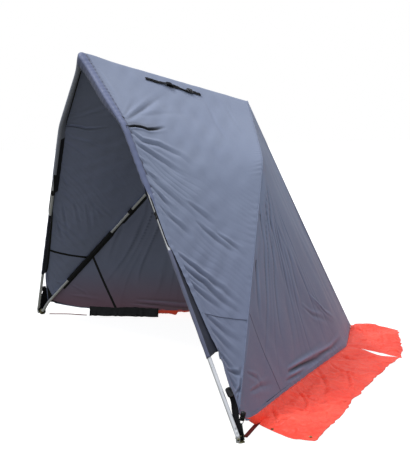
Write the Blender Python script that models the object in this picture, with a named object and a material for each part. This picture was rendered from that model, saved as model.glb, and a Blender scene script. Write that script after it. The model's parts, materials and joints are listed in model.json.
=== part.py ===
"""Beach shelter, modelled in metres with +Z up and the ground at z = 0.

Two alike pole hoops share one pair of feet, so the front hoop swings about a line through both feet.
A fabric canopy spans the two hoops, fabric walls close the back down to the ground, and flaps lie
outside the walls, where stones or sand hold the shelter down. The opening faces -Y. The origin is the
centre of the footprint, on the ground.
"""

import math

import bmesh
import bpy
from mathutils import Matrix, Vector

# Hoops: the same outline twice, measured in each hoop's own plane from the line through the feet.
HALF_WIDTH = 1.200
KNEE_X = 0.419
KNEE_REACH = 1.129
APEX_REACH = 1.451
FRONT_LEAN = math.radians(-4.2)
REAR_LEAN = math.radians(31.8)
PIN_HEIGHT = 0.018
FEET_Y = -0.7349
FRONT_FOOT_OUT = 0.012
REAR_FOOT_OUT = -0.020

# Poles and the fittings that join them.
POLE_RADIUS = 0.008
FIT_GAP = 0.0003
FITTING_RADIUS = 0.011
FITTING_ARM = 0.055
SOCKET_STOP = 0.020
COLLAR_AT = 0.330
COLLAR_LENGTH = 0.046
SLEEVE_RADIUS = 0.0105
SLEEVE_FROM = 0.455
SLEEVE_TO = 0.775
ROUND_SIDES = 16
SHARP_ANGLE = math.radians(35)
CUT_PAST = 0.010

# Feet: a base plate, an upright lug between the two poles, and the pin the front pole turns on.
PLATE_THICKNESS = 0.004
PLATE_FRONT = -0.030
PLATE_BACK = 0.050
PLATE_INNER = 0.034
PLATE_OUTER = 0.024
LUG_THICKNESS = 0.004
LUG_HALF_WIDTH = 0.009
LUG_TOP = 0.027
LUG_CLEAR = 0.0005
PIN_RADIUS = 0.004
PIN_LENGTH = 0.014
EYE_THICKNESS = 0.006
EYE_WIDTH = 0.020
EYE_BELOW = 0.010
EYE_NECK = 0.030
FOOT_RISE = 0.012
SOCKET_HEIGHT = 0.045
SOCKET_BASE = 0.026
PAD_SIZE = (0.031, 0.024, 0.014)
PAD_OUTSIDE = 0.25
POLE_END_HEIGHT = 0.012
GROUND_CUT = 0.2

# Fabric, as sheets that stand just outside the poles.
FABRIC = 0.003
FRONT_OFFSET = 0.0118
REAR_OFFSET = 0.0125
HEM_FORWARD = 0.012
HEM_BEHIND = 0.030
CORNER_HEIGHT = 0.072
SEAM_GAP = 0.0003

# Footprint of the back walls behind the line of the feet, and of the flaps outside them.
SIDE_CORNER = (0.356, 1.152)
REAR_TIP = 1.452
FLAP = 0.002
FLAP_CLEAR = 0.0032
FLAP_DROP = 0.35
FLAP_STEPS = 6
SIDE_FLAP_ROWS = 8
FLAP_FRONT_OUTER = (1.338, 0.205)
FLAP_BACK_OUTER = (0.629, 1.258)
TURNED_BACK = 0.22
REAR_FLAP_ROWS = 4
REAR_FLAP_ENDS = (0.02, 0.98)
REAR_FLAP_SIDE_OUTER = (0.602, 1.290)
REAR_FLAP_TIP_OUTER = (0.216, 1.600)
REAR_FLAP_TIP_SIDE = (0.070, 1.555)
REAR_FLAP_TIP_SHARE = 0.25

# Webbing. The foot strap's lower end is measured from the foot, the handle's start from the front hem.
STRAP_THICKNESS = 0.0015
FOOT_STRAP_WIDTH = 0.020
FOOT_STRAP_HEM = 0.36
FOOT_STRAP_IN = 0.004
FOOT_STRAP_LOW = (-0.030, -0.012, 0.030)
GROUND_STRAP_WIDTH = 0.020
GROUND_STRAP_IN = 0.018
GROUND_STRAP_REACH = 0.24
HANDLE_WIDTH = 0.025
HANDLE_THICKNESS = 0.0025
HANDLE_X = 0.048
HANDLE_START = 0.322
HANDLE_LENGTH = 0.280
HANDLE_RISE = 0.020
HANDLE_ARCH = (0.15, 0.68)
HANDLE_STEPS = 12
BUCKLE_SIZE = (0.034, 0.036, 0.008)
BUCKLE_AT = 0.79

SIDES = (("left", -1), ("right", 1))


def clear_scene():
    for found in list(bpy.data.objects):
        bpy.data.objects.remove(found, do_unlink=True)


def make_material(name, colour, roughness, metallic=0.0):
    made = bpy.data.materials.new(name)
    made.use_nodes = True
    shader = made.node_tree.nodes["Principled BSDF"]
    shader.inputs["Base Color"].default_value = (*colour, 1.0)
    shader.inputs["Roughness"].default_value = roughness
    shader.inputs["Metallic"].default_value = metallic
    return made


def make_empty(name, location, lean=0.0):
    empty = bpy.data.objects.new(name, None)
    empty.location = location
    empty.rotation_euler.x = -lean
    bpy.context.scene.collection.objects.link(empty)
    return empty


def link_object(name, bm, parent):
    mesh = bpy.data.meshes.new(name)
    bm.to_mesh(mesh)
    bm.free()
    made = bpy.data.objects.new(name, mesh)
    made.parent = parent
    bpy.context.scene.collection.objects.link(made)
    return made


def make_object(name, bm, parent, finish=None):
    """A solid from a bmesh. With no finish it is only a tool for a Boolean, and isn't rendered."""
    bmesh.ops.recalc_face_normals(bm, faces=bm.faces)
    made = link_object(name, bm, parent)
    if finish is None:
        made.hide_render = True
        made.display_type = "WIRE"
    else:
        made.data.materials.append(finish)
        made.data.shade_smooth()
        made.data.set_sharp_from_angle(angle=SHARP_ANGLE)
    return made


def combine(target, tool, operation):
    boolean = target.modifiers.new(f"{operation.lower()}_{tool.name}", "BOOLEAN")
    boolean.operation = operation
    boolean.object = tool


def round_section(radius):
    steps = (2 * math.pi * step / ROUND_SIDES for step in range(ROUND_SIDES))
    return [(radius * math.cos(turn), radius * math.sin(turn)) for turn in steps]


def flat_section(width, thickness):
    """A strap's section: its width along the side vector, its thickness across it."""
    half, depth = width / 2, thickness / 2
    return [(half, depth), (-half, depth), (-half, -depth), (half, -depth)]


def sweep(path, section, side):
    """The section carried along a path of points, mitred at each bend, as a closed bmesh."""
    path = [Vector(point) for point in path]
    runs = [(end - start).normalized() for start, end in zip(path, path[1:])]
    bm = bmesh.new()
    rings = []
    for index, point in enumerate(path):
        run = runs[max(index - 1, 0)]
        mitre = (run + runs[min(index, len(runs) - 1)]).normalized()
        across = (Vector(side) - run * run.dot(side)).normalized()
        upward = run.cross(across)
        ring = []
        for along_side, along_up in section:
            spoke = across * along_side + upward * along_up
            spoke -= run * (spoke.dot(mitre) / run.dot(mitre))
            ring.append(bm.verts.new(point + spoke))
        rings.append(ring)
    for low, high in zip(rings, rings[1:]):
        for here in range(len(section)):
            after = (here + 1) % len(section)
            bm.faces.new((low[here], low[after], high[after], high[here]))
    bm.faces.new(rings[0])
    bm.faces.new(rings[-1])
    return bm


def box(low, high):
    bm = bmesh.new()
    bmesh.ops.create_cube(bm, size=1.0)
    size = Vector(high) - Vector(low)
    place = Matrix.Translation((Vector(high) + Vector(low)) / 2)
    bmesh.ops.transform(bm, matrix=place @ Matrix.Diagonal((*size, 1.0)), verts=bm.verts)
    return bm


def panel(name, corners, facets, thickness, parent, finish):
    """A sheet through the corner points, given its thickness on the outer side."""
    bm = bmesh.new()
    verts = [bm.verts.new(corner) for corner in corners]
    for facet in facets:
        bm.faces.new([verts[index] for index in facet])
    made = link_object(name, bm, parent)
    made.data.materials.append(finish)
    wall = made.modifiers.new("thickness", "SOLIDIFY")
    wall.thickness = thickness
    wall.offset = 1.0
    wall.use_even_offset = True
    return made


def outward(facets, sign):
    """Facets listed for the right side, turned round on the left so that they still face out."""
    return facets if sign > 0 else [facet[::-1] for facet in facets]


def mirrored(point, sign):
    return Vector((sign * point[0], point[1], point[2]))


def between(start, end, share):
    return Vector(start).lerp(Vector(end), share)


def hoop_outline(offset, spread):
    """Apex, knee and foot of the right half of a hoop moved outwards by an offset, in its own plane."""
    apex = Vector((0.0, APEX_REACH))
    knee = Vector((KNEE_X, KNEE_REACH))
    foot = Vector((HALF_WIDTH + spread, FOOT_RISE))
    roof_run = (knee - apex).normalized()
    leg_run = (foot - knee).normalized()
    roof_out = Vector((-roof_run.y, roof_run.x))
    leg_out = Vector((-leg_run.y, leg_run.x))
    apex_moved = apex + Vector((0.0, offset / roof_out.y))
    knee_moved = knee + (roof_out + leg_out) * (offset / (1 + roof_out.dot(leg_out)))
    return apex_moved, knee_moved, foot + leg_out * offset


def leaned(point, lean):
    """A point of a hoop's plane in the shelter's frame, whose origin is on the ground between the feet."""
    return Vector((point[0], point[1] * math.sin(lean), PIN_HEIGHT + point[1] * math.cos(lean)))


def in_plane(point):
    return Vector((point[0], 0.0, point[1]))


def make_rod(name, start, end, radius, parent, finish=None):
    bm = sweep((start, end), round_section(radius), (0, 1, 0))
    return make_object(name, bm, parent, finish)


def make_ring(name, start, end, outer, parent, finish):
    """A short tube with a bore that clears the pole."""
    ring = make_rod(name, start, end, outer, parent, finish)
    past = (end - start).normalized() * CUT_PAST
    bore = make_rod(f"{name}_bore", start - past, end + past, POLE_RADIUS + FIT_GAP, parent)
    combine(ring, bore, "DIFFERENCE")


def make_elbow(name, ends, corner, parent, finish):
    """A bent fitting with a socket for a pole along each of its two arms."""
    arms = [(end - corner).normalized() for end in ends]
    path = [corner + arms[0] * FITTING_ARM, corner, corner + arms[1] * FITTING_ARM]
    elbow = make_object(name, sweep(path, round_section(FITTING_RADIUS), (0, 1, 0)), parent, finish)
    for count, arm in enumerate(arms):
        start = corner + arm * SOCKET_STOP
        end = corner + arm * (FITTING_ARM + CUT_PAST)
        bore = make_rod(f"{name}_socket_{count}", start, end, POLE_RADIUS + FIT_GAP, parent)
        combine(elbow, bore, "DIFFERENCE")


def rear_pole_end(foot, up_run):
    """Where the rear pole ends inside its socket, in the rear hoop's plane."""
    return foot - up_run * ((FOOT_RISE + PIN_HEIGHT - POLE_END_HEIGHT) / up_run.z)


def make_hoop(prefix, pivot, spread, finishes):
    """One hoop in the XZ plane of its pivot: apex and knee fittings, roof poles, legs, collars, sleeves."""
    apex, knee_right, foot_right = (in_plane(point) for point in hoop_outline(0.0, spread))
    knees = {side: mirrored(knee_right, sign) for side, sign in SIDES}
    seat = SOCKET_STOP + FIT_GAP
    make_elbow(f"{prefix}_apex_fitting", (knees["left"], knees["right"]), apex, pivot, finishes["plastic"])
    for side, sign in SIDES:
        knee = knees[side]
        foot = mirrored(foot_right, sign)
        roof_run = (knee - apex).normalized()
        leg_run = (foot - knee).normalized()
        leg_length = (foot - knee).length
        make_elbow(f"{prefix}_knee_{side}", (apex, foot), knee, pivot, finishes["plastic"])
        make_rod(
            f"{prefix}_roof_pole_{side}",
            apex + roof_run * seat,
            knee - roof_run * seat,
            POLE_RADIUS,
            pivot,
            finishes["aluminium"],
        )
        joint = knee + leg_run * (leg_length * COLLAR_AT)
        make_rod(
            f"{prefix}_leg_upper_{side}",
            knee + leg_run * seat,
            joint - leg_run * FIT_GAP,
            POLE_RADIUS,
            pivot,
            finishes["aluminium"],
        )
        half_collar = leg_run * (COLLAR_LENGTH / 2)
        make_ring(
            f"{prefix}_leg_collar_{side}",
            joint - half_collar,
            joint + half_collar,
            FITTING_RADIUS,
            pivot,
            finishes["plastic"],
        )
        make_ring(
            f"{prefix}_sleeve_{side}",
            knee + leg_run * (leg_length * SLEEVE_FROM),
            knee + leg_run * (leg_length * SLEEVE_TO),
            SLEEVE_RADIUS,
            pivot,
            finishes["sleeve"],
        )
        if prefix == "front":
            make_front_lower_leg(side, joint, foot, leg_run, pivot, finishes["aluminium"])
        else:
            end = rear_pole_end(foot, -leg_run)
            make_rod(f"rear_leg_lower_{side}", joint, end, POLE_RADIUS, pivot, finishes["aluminium"])


def make_front_lower_leg(side, joint, foot, leg_run, pivot, finish):
    """The front hoop's lower pole, flattened at its end into an upright eye that turns on the pin."""
    name = f"front_leg_lower_{side}"
    leg = make_rod(name, joint, foot - leg_run * (EYE_NECK / 2), POLE_RADIUS, pivot, finish)
    pin = foot - Vector((0, 0, FOOT_RISE))
    path = (pin - Vector((0, 0, EYE_BELOW)), foot, foot - leg_run * EYE_NECK)
    flattened = sweep(path, flat_section(EYE_WIDTH, EYE_THICKNESS), (0, 1, 0))
    combine(leg, make_object(f"{name}_eye", flattened, pivot), "UNION")
    reach = Vector((EYE_THICKNESS, 0, 0))
    hole = make_rod(f"{name}_pin_hole", pin - reach, pin + reach, PIN_RADIUS + FIT_GAP, pivot)
    combine(leg, hole, "DIFFERENCE")


def make_foot_bracket(side, sign, shelter, rear_pivot, finish):
    """Base plate, upright lug, socket for the rear pole and pin for the front pole, in one piece."""
    name = f"foot_bracket_{side}"
    near, far = sorted((sign * (HALF_WIDTH - PLATE_INNER), sign * (HALF_WIDTH + PLATE_OUTER)))
    plate = box((near, PLATE_FRONT, 0.0), (far, PLATE_BACK, PLATE_THICKNESS))
    bracket = make_object(name, plate, shelter, finish)
    face = HALF_WIDTH + FRONT_FOOT_OUT - EYE_THICKNESS / 2 - LUG_CLEAR
    near, far = sorted((sign * (face - LUG_THICKNESS), sign * face))
    lug = box((near, -LUG_HALF_WIDTH, PLATE_THICKNESS / 2), (far, LUG_HALF_WIDTH, LUG_TOP))
    combine(bracket, make_object(f"{name}_lug", lug, shelter), "UNION")
    start = Vector((sign * (face - LUG_THICKNESS / 2), 0.0, PIN_HEIGHT))
    end = start + Vector((sign * PIN_LENGTH, 0, 0))
    combine(bracket, make_rod(f"{name}_pin", start, end, PIN_RADIUS, shelter), "UNION")
    _, knee, foot = (mirrored(in_plane(point), sign) for point in hoop_outline(0.0, REAR_FOOT_OUT))
    run = (knee - foot).normalized()
    base = foot - run * SOCKET_BASE
    socket = make_rod(f"{name}_socket", base, foot + run * SOCKET_HEIGHT, FITTING_RADIUS, rear_pivot)
    combine(bracket, socket, "UNION")
    length, width, height = PAD_SIZE
    outer = base.x + sign * length * PAD_OUTSIDE
    near, far = sorted((outer, outer - sign * length))
    pad = box((near, -width / 2, PLATE_THICKNESS / 2), (far, width / 2, height))
    combine(bracket, make_object(f"{name}_pad", pad, shelter), "UNION")
    bottom = rear_pole_end(foot, run) - run * FIT_GAP
    top = foot + run * (SOCKET_HEIGHT + CUT_PAST)
    bore = make_rod(f"{name}_bore", bottom, top, POLE_RADIUS + FIT_GAP, rear_pivot)
    combine(bracket, bore, "DIFFERENCE")
    near, far = sign * HALF_WIDTH - GROUND_CUT, sign * HALF_WIDTH + GROUND_CUT
    ground = box((near, -GROUND_CUT, -GROUND_CUT), (far, GROUND_CUT, 0.0))
    combine(bracket, make_object(f"{name}_ground", ground, shelter), "DIFFERENCE")


def front_cloth_points():
    """Ridge, knee and sleeve end on the canopy's front edge, just ahead of the front hoop's right half."""
    apex, knee, foot = (leaned(point, FRONT_LEAN) for point in hoop_outline(FRONT_OFFSET, FRONT_FOOT_OUT))
    sleeve_end = between(knee, foot, SLEEVE_TO)
    forward = (apex - rear_cloth_points()[0]).normalized()
    return apex + forward * HEM_FORWARD, knee + forward * HEM_FORWARD, sleeve_end - forward * HEM_BEHIND


def rear_cloth_points():
    """Ridge, knee and lower corner of the crease where canopy and back walls meet over the rear hoop."""
    apex, knee, foot = (leaned(point, REAR_LEAN) for point in hoop_outline(REAR_OFFSET, REAR_FOOT_OUT))
    corner = between(foot, knee, (CORNER_HEIGHT - foot.z) / (knee.z - foot.z))
    return apex, knee, corner


def make_canopy(side, sign, shelter, finish):
    """Roof slope and side of one half, as one sheet bent along the line between the two knees."""
    front_apex, front_knee, sleeve_end = front_cloth_points()
    rear_apex, rear_knee, corner = rear_cloth_points()
    off = (front_apex - rear_apex).normalized() * SEAM_GAP
    corners = [front_apex, rear_apex + off, rear_knee + off, front_knee, sleeve_end, corner + off]
    for ridge in corners[:2]:
        ridge.x = SEAM_GAP / 2
    corners = [mirrored(point, sign) for point in corners]
    facets = [(0, 3, 2, 1), (3, 4, 2), (4, 5, 2)]
    return panel(f"canopy_{side}", corners, outward(facets, sign), FABRIC, shelter, finish)


def side_wall_points():
    """Lower corner, knee and side corner of the right side wall, drawn in a little from its seams."""
    _, rear_knee, corner = rear_cloth_points()
    corners = (corner, rear_knee, Vector((*SIDE_CORNER, 0.0)))
    centre = (corners[0] + corners[1] + corners[2]) / 3
    drawn_in = [point + (centre - point).normalized() * (SEAM_GAP * 2) for point in corners]
    drawn_in[2].z = 0.0
    return drawn_in


def make_side_wall(side, sign, shelter, finish):
    corners = [mirrored(point, sign) for point in side_wall_points()]
    return panel(f"side_wall_{side}", corners, outward([(0, 2, 1)], sign), FABRIC, shelter, finish)


def make_back_wall(side, sign, shelter, finish):
    """The wall from the rear roof pole down to the ground, ending at the shelter's middle plane."""
    rear_apex, rear_knee, _ = rear_cloth_points()
    tip = Vector((SEAM_GAP / 2, REAR_TIP, 0.0))
    side_corner = Vector((*SIDE_CORNER, 0.0))
    downhill = (side_corner - rear_knee).normalized() * SEAM_GAP
    towards_tip = (tip - side_corner).normalized() * SEAM_GAP
    top = rear_apex + downhill
    top.x = SEAM_GAP / 2
    corners = [top, rear_knee + downhill + towards_tip, side_corner + towards_tip, tip]
    corners = [mirrored(point, sign) for point in corners]
    facets = [(0, 1, 2), (0, 2, 3)]
    return panel(f"back_wall_{side}", corners, outward(facets, sign), FABRIC, shelter, finish)


def flap_mesh(inner, outer, sign, name, shelter, finish):
    """A grid from the sewn edge to the outer edge, which falls to the ground and then lies on it."""
    corners = []
    for start, end in zip(inner, outer):
        for step in range(FLAP_STEPS + 1):
            share = step / FLAP_STEPS
            point = between(start, end, share)
            point.z = start.z * max(0.0, 1.0 - share / FLAP_DROP) ** 2
            corners.append(mirrored(point, sign))
    facets = []
    for row in range(len(inner) - 1):
        for step in range(FLAP_STEPS):
            first = row * (FLAP_STEPS + 1) + step
            beyond = first + FLAP_STEPS + 1
            facets.append((first, first + 1, beyond + 1, beyond))
    return panel(name, corners, outward(facets, sign), FLAP, shelter, finish)


def make_side_flap(side, sign, shelter, finish):
    """The flap along a side wall. On the left its front corner is turned back over the rest."""
    _, _, corner = rear_cloth_points()
    side_corner = Vector((*SIDE_CORNER, 0.0))
    base = side_corner - corner
    clear = Vector((base.y, -base.x, 0.0)).normalized() * FLAP_CLEAR
    first = TURNED_BACK if side == "left" else 0.0
    inner, outer = [], []
    for row in range(SIDE_FLAP_ROWS + 1):
        share = row / SIDE_FLAP_ROWS
        inner.append(corner + clear + base * (first + (1.0 - first) * share))
        outer.append(between((*FLAP_FRONT_OUTER, 0.0), (*FLAP_BACK_OUTER, 0.0), share))
    return flap_mesh(inner, outer, sign, f"side_flap_{side}", shelter, finish)


def make_rear_flap(side, sign, shelter, finish):
    side_corner = Vector((*SIDE_CORNER, 0.0))
    tip = Vector((0.0, REAR_TIP, 0.0))
    base = tip - side_corner
    clear = Vector((base.y, -base.x, 0.0)).normalized() * FLAP_CLEAR
    outer_start = Vector((*REAR_FLAP_SIDE_OUTER, 0.0))
    outer_end = Vector((*REAR_FLAP_TIP_OUTER, 0.0))
    first, last = REAR_FLAP_ENDS
    inner, outer = [], []
    for row in range(REAR_FLAP_ROWS + 1):
        share = row / REAR_FLAP_ROWS
        inner.append(side_corner + clear + base * (first + (last - first) * share))
        outer.append(between(outer_start, outer_end, share))
    outer[-1] = between(outer_end, (*REAR_FLAP_TIP_SIDE, 0.0), REAR_FLAP_TIP_SHARE)
    return flap_mesh(inner, outer, sign, f"rear_flap_{side}", shelter, finish)


def make_foot_strap(side, sign, shelter, finish):
    """Webbing from just inside the canopy's lower hem down to the foot."""
    _, _, sleeve_end = front_cloth_points()
    _, knee, corner = rear_cloth_points()
    inward = (corner - sleeve_end).cross(knee - sleeve_end).normalized()
    if inward.x > 0:
        inward = -inward
    top = between(corner, sleeve_end, FOOT_STRAP_HEM) + inward * FOOT_STRAP_IN
    bottom = Vector((HALF_WIDTH, 0.0, 0.0)) + Vector(FOOT_STRAP_LOW)
    path = [mirrored(point, sign) for point in (top, bottom)]
    section = flat_section(FOOT_STRAP_WIDTH, STRAP_THICKNESS)
    return make_object(f"foot_strap_{side}", sweep(path, section, (0, 1, 0)), shelter, finish)


def make_ground_strap(side, sign, shelter, finish):
    """Webbing on the ground, from the foot back along the side wall's lower edge."""
    _, _, corner = rear_cloth_points()
    base = (Vector((*SIDE_CORNER, 0.0)) - corner).normalized()
    start = Vector((HALF_WIDTH - GROUND_STRAP_IN, PLATE_BACK + FIT_GAP, STRAP_THICKNESS / 2))
    bend = start + Vector((0.0, GROUND_STRAP_WIDTH / 2, 0.0))
    end = bend + Vector((base.x, base.y, 0.0)).normalized() * GROUND_STRAP_REACH
    path = [mirrored(point, sign) for point in (start, bend, end)]
    section = flat_section(GROUND_STRAP_WIDTH, STRAP_THICKNESS)
    return make_object(f"ground_strap_{side}", sweep(path, section, (1, 0, 0)), shelter, finish)


def roof_frame():
    """Ridge start, run of the ridge, run down the right slope and that slope's outward normal."""
    front_apex, front_knee, _ = front_cloth_points()
    rear_apex, _, _ = rear_cloth_points()
    run = (rear_apex - front_apex).normalized()
    slope = (front_knee - front_apex).normalized()
    normal = slope.cross(run).normalized()
    if normal.z < 0:
        normal = -normal
    return front_apex, run, slope, normal


def make_handle(shelter, webbing, plastic):
    """Carrying strap sewn to the right roof slope beside the ridge, with a slide buckle."""
    start, run, slope, normal = roof_frame()
    lift = FABRIC + FIT_GAP + HANDLE_THICKNESS / 2
    base = start + slope * (HANDLE_X / slope.x) + run * HANDLE_START
    low, high = HANDLE_ARCH
    path = []
    for step in range(HANDLE_STEPS + 1):
        share = step / HANDLE_STEPS
        arch = min(max((share - low) / (high - low), 0.0), 1.0)
        rise = HANDLE_RISE * math.sin(math.pi * arch) ** 2
        path.append(base + run * (HANDLE_LENGTH * share) + normal * (lift + rise))
    side_way = run.cross(normal)
    section = flat_section(HANDLE_WIDTH, HANDLE_THICKNESS)
    make_object("carry_handle", sweep(path, section, side_way), shelter, webbing)
    length, width, thickness = BUCKLE_SIZE
    height = lift + HANDLE_THICKNESS / 2 + FIT_GAP + thickness / 2
    centre = base + run * (HANDLE_LENGTH * BUCKLE_AT) + normal * height
    ends = (centre - run * (length / 2), centre + run * (length / 2))
    block = sweep(ends, flat_section(width, thickness), side_way)
    make_object("handle_buckle", block, shelter, plastic)


def main():
    clear_scene()
    finishes = {
        "aluminium": make_material("aluminium tube", (0.72, 0.73, 0.74), 0.30, 1.0),
        "plastic": make_material("black plastic", (0.02, 0.02, 0.022), 0.45),
        "steel": make_material("foot bracket steel", (0.30, 0.29, 0.24), 0.40, 0.8),
        "sleeve": make_material("sleeve cloth", (0.03, 0.03, 0.04), 0.85),
        "canopy": make_material("grey blue cloth", (0.20, 0.22, 0.31), 0.80),
        "wall": make_material("grey wall cloth", (0.13, 0.13, 0.17), 0.80),
        "flap": make_material("coral flap cloth", (0.95, 0.10, 0.06), 0.75),
        "webbing": make_material("black webbing", (0.015, 0.015, 0.018), 0.80),
        "ground webbing": make_material("dark red webbing", (0.10, 0.02, 0.015), 0.80),
    }
    shelter = make_empty("shelter", (0.0, FEET_Y, 0.0))
    front_pivot = make_empty("front_hoop_pivot", (0.0, FEET_Y, PIN_HEIGHT), FRONT_LEAN)
    rear_pivot = make_empty("rear_hoop_pivot", (0.0, FEET_Y, PIN_HEIGHT), REAR_LEAN)
    make_hoop("front", front_pivot, FRONT_FOOT_OUT, finishes)
    make_hoop("rear", rear_pivot, REAR_FOOT_OUT, finishes)
    for side, sign in SIDES:
        make_foot_bracket(side, sign, shelter, rear_pivot, finishes["steel"])
        make_canopy(side, sign, shelter, finishes["canopy"])
        make_side_wall(side, sign, shelter, finishes["wall"])
        make_back_wall(side, sign, shelter, finishes["wall"])
        make_side_flap(side, sign, shelter, finishes["flap"])
        make_rear_flap(side, sign, shelter, finishes["flap"])
        make_foot_strap(side, sign, shelter, finishes["webbing"])
        make_ground_strap(side, sign, shelter, finishes["ground webbing"])
    make_handle(shelter, finishes["webbing"], finishes["plastic"])


main()
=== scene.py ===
"""Looks of the beach shelter: its cloth with folds, seams and hems, its round poles, webbing and finishes.

Lengths are in metres in the shelter's own frame: +Z up, the opening towards -Y, the ground at z = 0.
The right side is worked out, and the left side is its mirror image with folds of its own. Each cloth is
a function of two shares: a canopy half runs from the front hoop to the rear one and from the ridge down,
a wall from its lower corner to the middle of the back and from the ground up.
"""

import json
import math

import bmesh
import bpy
import numpy as np
from mathutils import Matrix, Vector


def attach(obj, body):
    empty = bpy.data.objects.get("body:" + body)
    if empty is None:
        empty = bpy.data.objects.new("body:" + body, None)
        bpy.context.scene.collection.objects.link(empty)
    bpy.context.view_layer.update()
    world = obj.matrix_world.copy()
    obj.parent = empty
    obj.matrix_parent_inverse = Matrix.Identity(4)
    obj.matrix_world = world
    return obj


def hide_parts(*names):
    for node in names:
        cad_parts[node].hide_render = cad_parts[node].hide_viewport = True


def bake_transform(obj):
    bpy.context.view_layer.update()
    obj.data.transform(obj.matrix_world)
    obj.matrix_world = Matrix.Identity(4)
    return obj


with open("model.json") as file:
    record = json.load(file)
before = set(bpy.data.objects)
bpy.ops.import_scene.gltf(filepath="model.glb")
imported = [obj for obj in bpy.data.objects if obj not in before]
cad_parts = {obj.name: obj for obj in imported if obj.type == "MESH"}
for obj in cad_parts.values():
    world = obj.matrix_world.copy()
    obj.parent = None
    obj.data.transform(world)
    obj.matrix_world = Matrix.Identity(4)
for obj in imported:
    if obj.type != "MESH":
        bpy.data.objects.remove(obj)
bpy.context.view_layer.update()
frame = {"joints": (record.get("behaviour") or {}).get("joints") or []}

# The camera that took the photograph, found from the frame's points, and the photograph's size.
PHOTO_SIZE = (410, 465)
CAMERA_PLACE = np.array((3.750, -2.209, 1.167))
CAMERA_TURN = math.radians(61.61)
CAMERA_TILT = math.radians(-7.35)
CAMERA_ROLL = math.radians(-0.58)
FOCAL_PIXELS = 842.2
PHOTO_CENTRE = (210.9, 229.0)
SENSOR = 36.0

# The frame's driving sizes, as its poles have them.
HINGE = np.array(frame["joints"][0]["pos_m"])
HALF_WIDTH = 1.200
KNEE_X = 0.419
KNEE_REACH = 1.129
APEX_REACH = 1.451
FRONT_LEAN = math.radians(-4.2)
REAR_LEAN = math.radians(31.8)
FOOT_RISE = 0.012
FRONT_FOOT_OUT = 0.012
REAR_FOOT_OUT = -0.020
POLE_RADIUS = 0.008
REAR_END_BEHIND = 0.016
FRONT_COLLAR_AT = 0.3205
REAR_COLLAR_AT = 0.336
SLEEVE_FROM = 0.438
SLEEVE_TO = 0.775
REAR_SLEEVE = (0.470, 0.788)

# Cloth, as sheets whose outer face stands off the poles' centre lines.
CLOTH = 0.0014
FRONT_OFFSET = 0.0132
REAR_OFFSET = 0.0140
HEM_BEHIND = 0.050
LEFT_HEM_LESS = 0.026
HEM_BAND = 0.024
CORNER_HEIGHT = 0.086
SIDE_CORNER = (0.356, 1.152)
REAR_TIP = 1.452
BEND_AT_HOOP = 0.035
BEND_MIDWAY = 0.30
ROOF_SAG = 0.008
GORE_SAG = 0.010
WALL_SAG = 0.006
RIDGE_ROUND = 0.005
APEX_ROUND = 0.007
APEX_LIFT = 0.0075
WALL_SHARE = 0.70
POCKET_END = 0.41
HEM_OPENS = 0.520
SEAM_FRONT = 0.822
SEAM_REAR = 0.683
WALL_SEAM_BASE = 0.31
WALL_SEAM_TOP = 0.348

MIRROR = np.array((-1.0, 1.0, 1.0))
SIDES = (("right", 1), ("left", -1))


def unit(vectors):
    """Vectors at length 1."""
    return vectors / np.linalg.norm(vectors, axis=-1, keepdims=True)


def mirrored(sign):
    """What a point of the right side is multiplied by, to lie on the side of that sign."""
    return np.array((sign, 1, 1))


def stacked(*values):
    """Values that broadcast to one shape, side by side along a new last axis."""
    return np.stack(np.broadcast_arrays(*values), axis=-1)


def smooth(share):
    """An S-curve from 0 to 1."""
    share = np.clip(share, 0.0, 1.0)
    return share * share * (3 - 2 * share)


def outline(offset, spread):
    """Apex, knee and foot of a hoop's right half in its own plane, moved outwards by an offset."""
    apex = np.array((0.0, APEX_REACH))
    knee = np.array((KNEE_X, KNEE_REACH))
    foot = np.array((HALF_WIDTH + spread, FOOT_RISE))
    roof_run = unit(knee - apex)
    leg_run = unit(foot - knee)
    roof_out = np.array((-roof_run[1], roof_run[0]))
    leg_out = np.array((-leg_run[1], leg_run[0]))
    knee_moved = knee + (roof_out + leg_out) * (offset / (1 + roof_out @ leg_out))
    return apex + np.array((0.0, offset / roof_out[1])), knee_moved, foot + leg_out * offset


def leaned(point, lean):
    """A point of a hoop's plane in the shelter's frame."""
    return HINGE + np.array((point[0], point[1] * math.sin(lean), point[1] * math.cos(lean)))


def on_ground(point):
    """A point given by its distance across and behind the line of the feet."""
    return np.array((point[0], point[1] + HINGE[1], 0.0))


# Corners of the right side: poles' centre lines first, then the cloth's outer face.
POLE_FRONT = [leaned(point, FRONT_LEAN) for point in outline(0.0, FRONT_FOOT_OUT)]
POLE_REAR = [leaned(point, REAR_LEAN) for point in outline(0.0, REAR_FOOT_OUT)]
FRONT_APEX, FRONT_KNEE, FRONT_LOW = (leaned(p, FRONT_LEAN) for p in outline(FRONT_OFFSET, FRONT_FOOT_OUT))
REAR_APEX, REAR_KNEE, REAR_LOW = (leaned(p, REAR_LEAN) for p in outline(REAR_OFFSET, REAR_FOOT_OUT))
BACKWARD = unit(REAR_APEX - FRONT_APEX)
LEG_END = FRONT_KNEE + (FRONT_LOW - FRONT_KNEE) * SLEEVE_TO
SLEEVE_END = LEG_END + BACKWARD * HEM_BEHIND
CORNER = REAR_LOW + (REAR_KNEE - REAR_LOW) * (CORNER_HEIGHT - REAR_LOW[2]) / (REAR_KNEE[2] - REAR_LOW[2])
CORNER_BEHIND = on_ground(SIDE_CORNER)
TIP = on_ground((0.0, REAR_TIP))


# The camera and what it sees.


def camera_axes():
    """Right, up and forward of the camera."""
    turn, tilt = CAMERA_TURN, CAMERA_TILT
    forward = np.array((-math.sin(turn) * math.cos(tilt), math.cos(turn) * math.cos(tilt), math.sin(tilt)))
    level = np.array((math.cos(turn), math.sin(turn), 0.0))
    above = np.cross(level, forward)
    right = level * math.cos(CAMERA_ROLL) + above * math.sin(CAMERA_ROLL)
    return right, above * math.cos(CAMERA_ROLL) - level * math.sin(CAMERA_ROLL), forward


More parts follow.
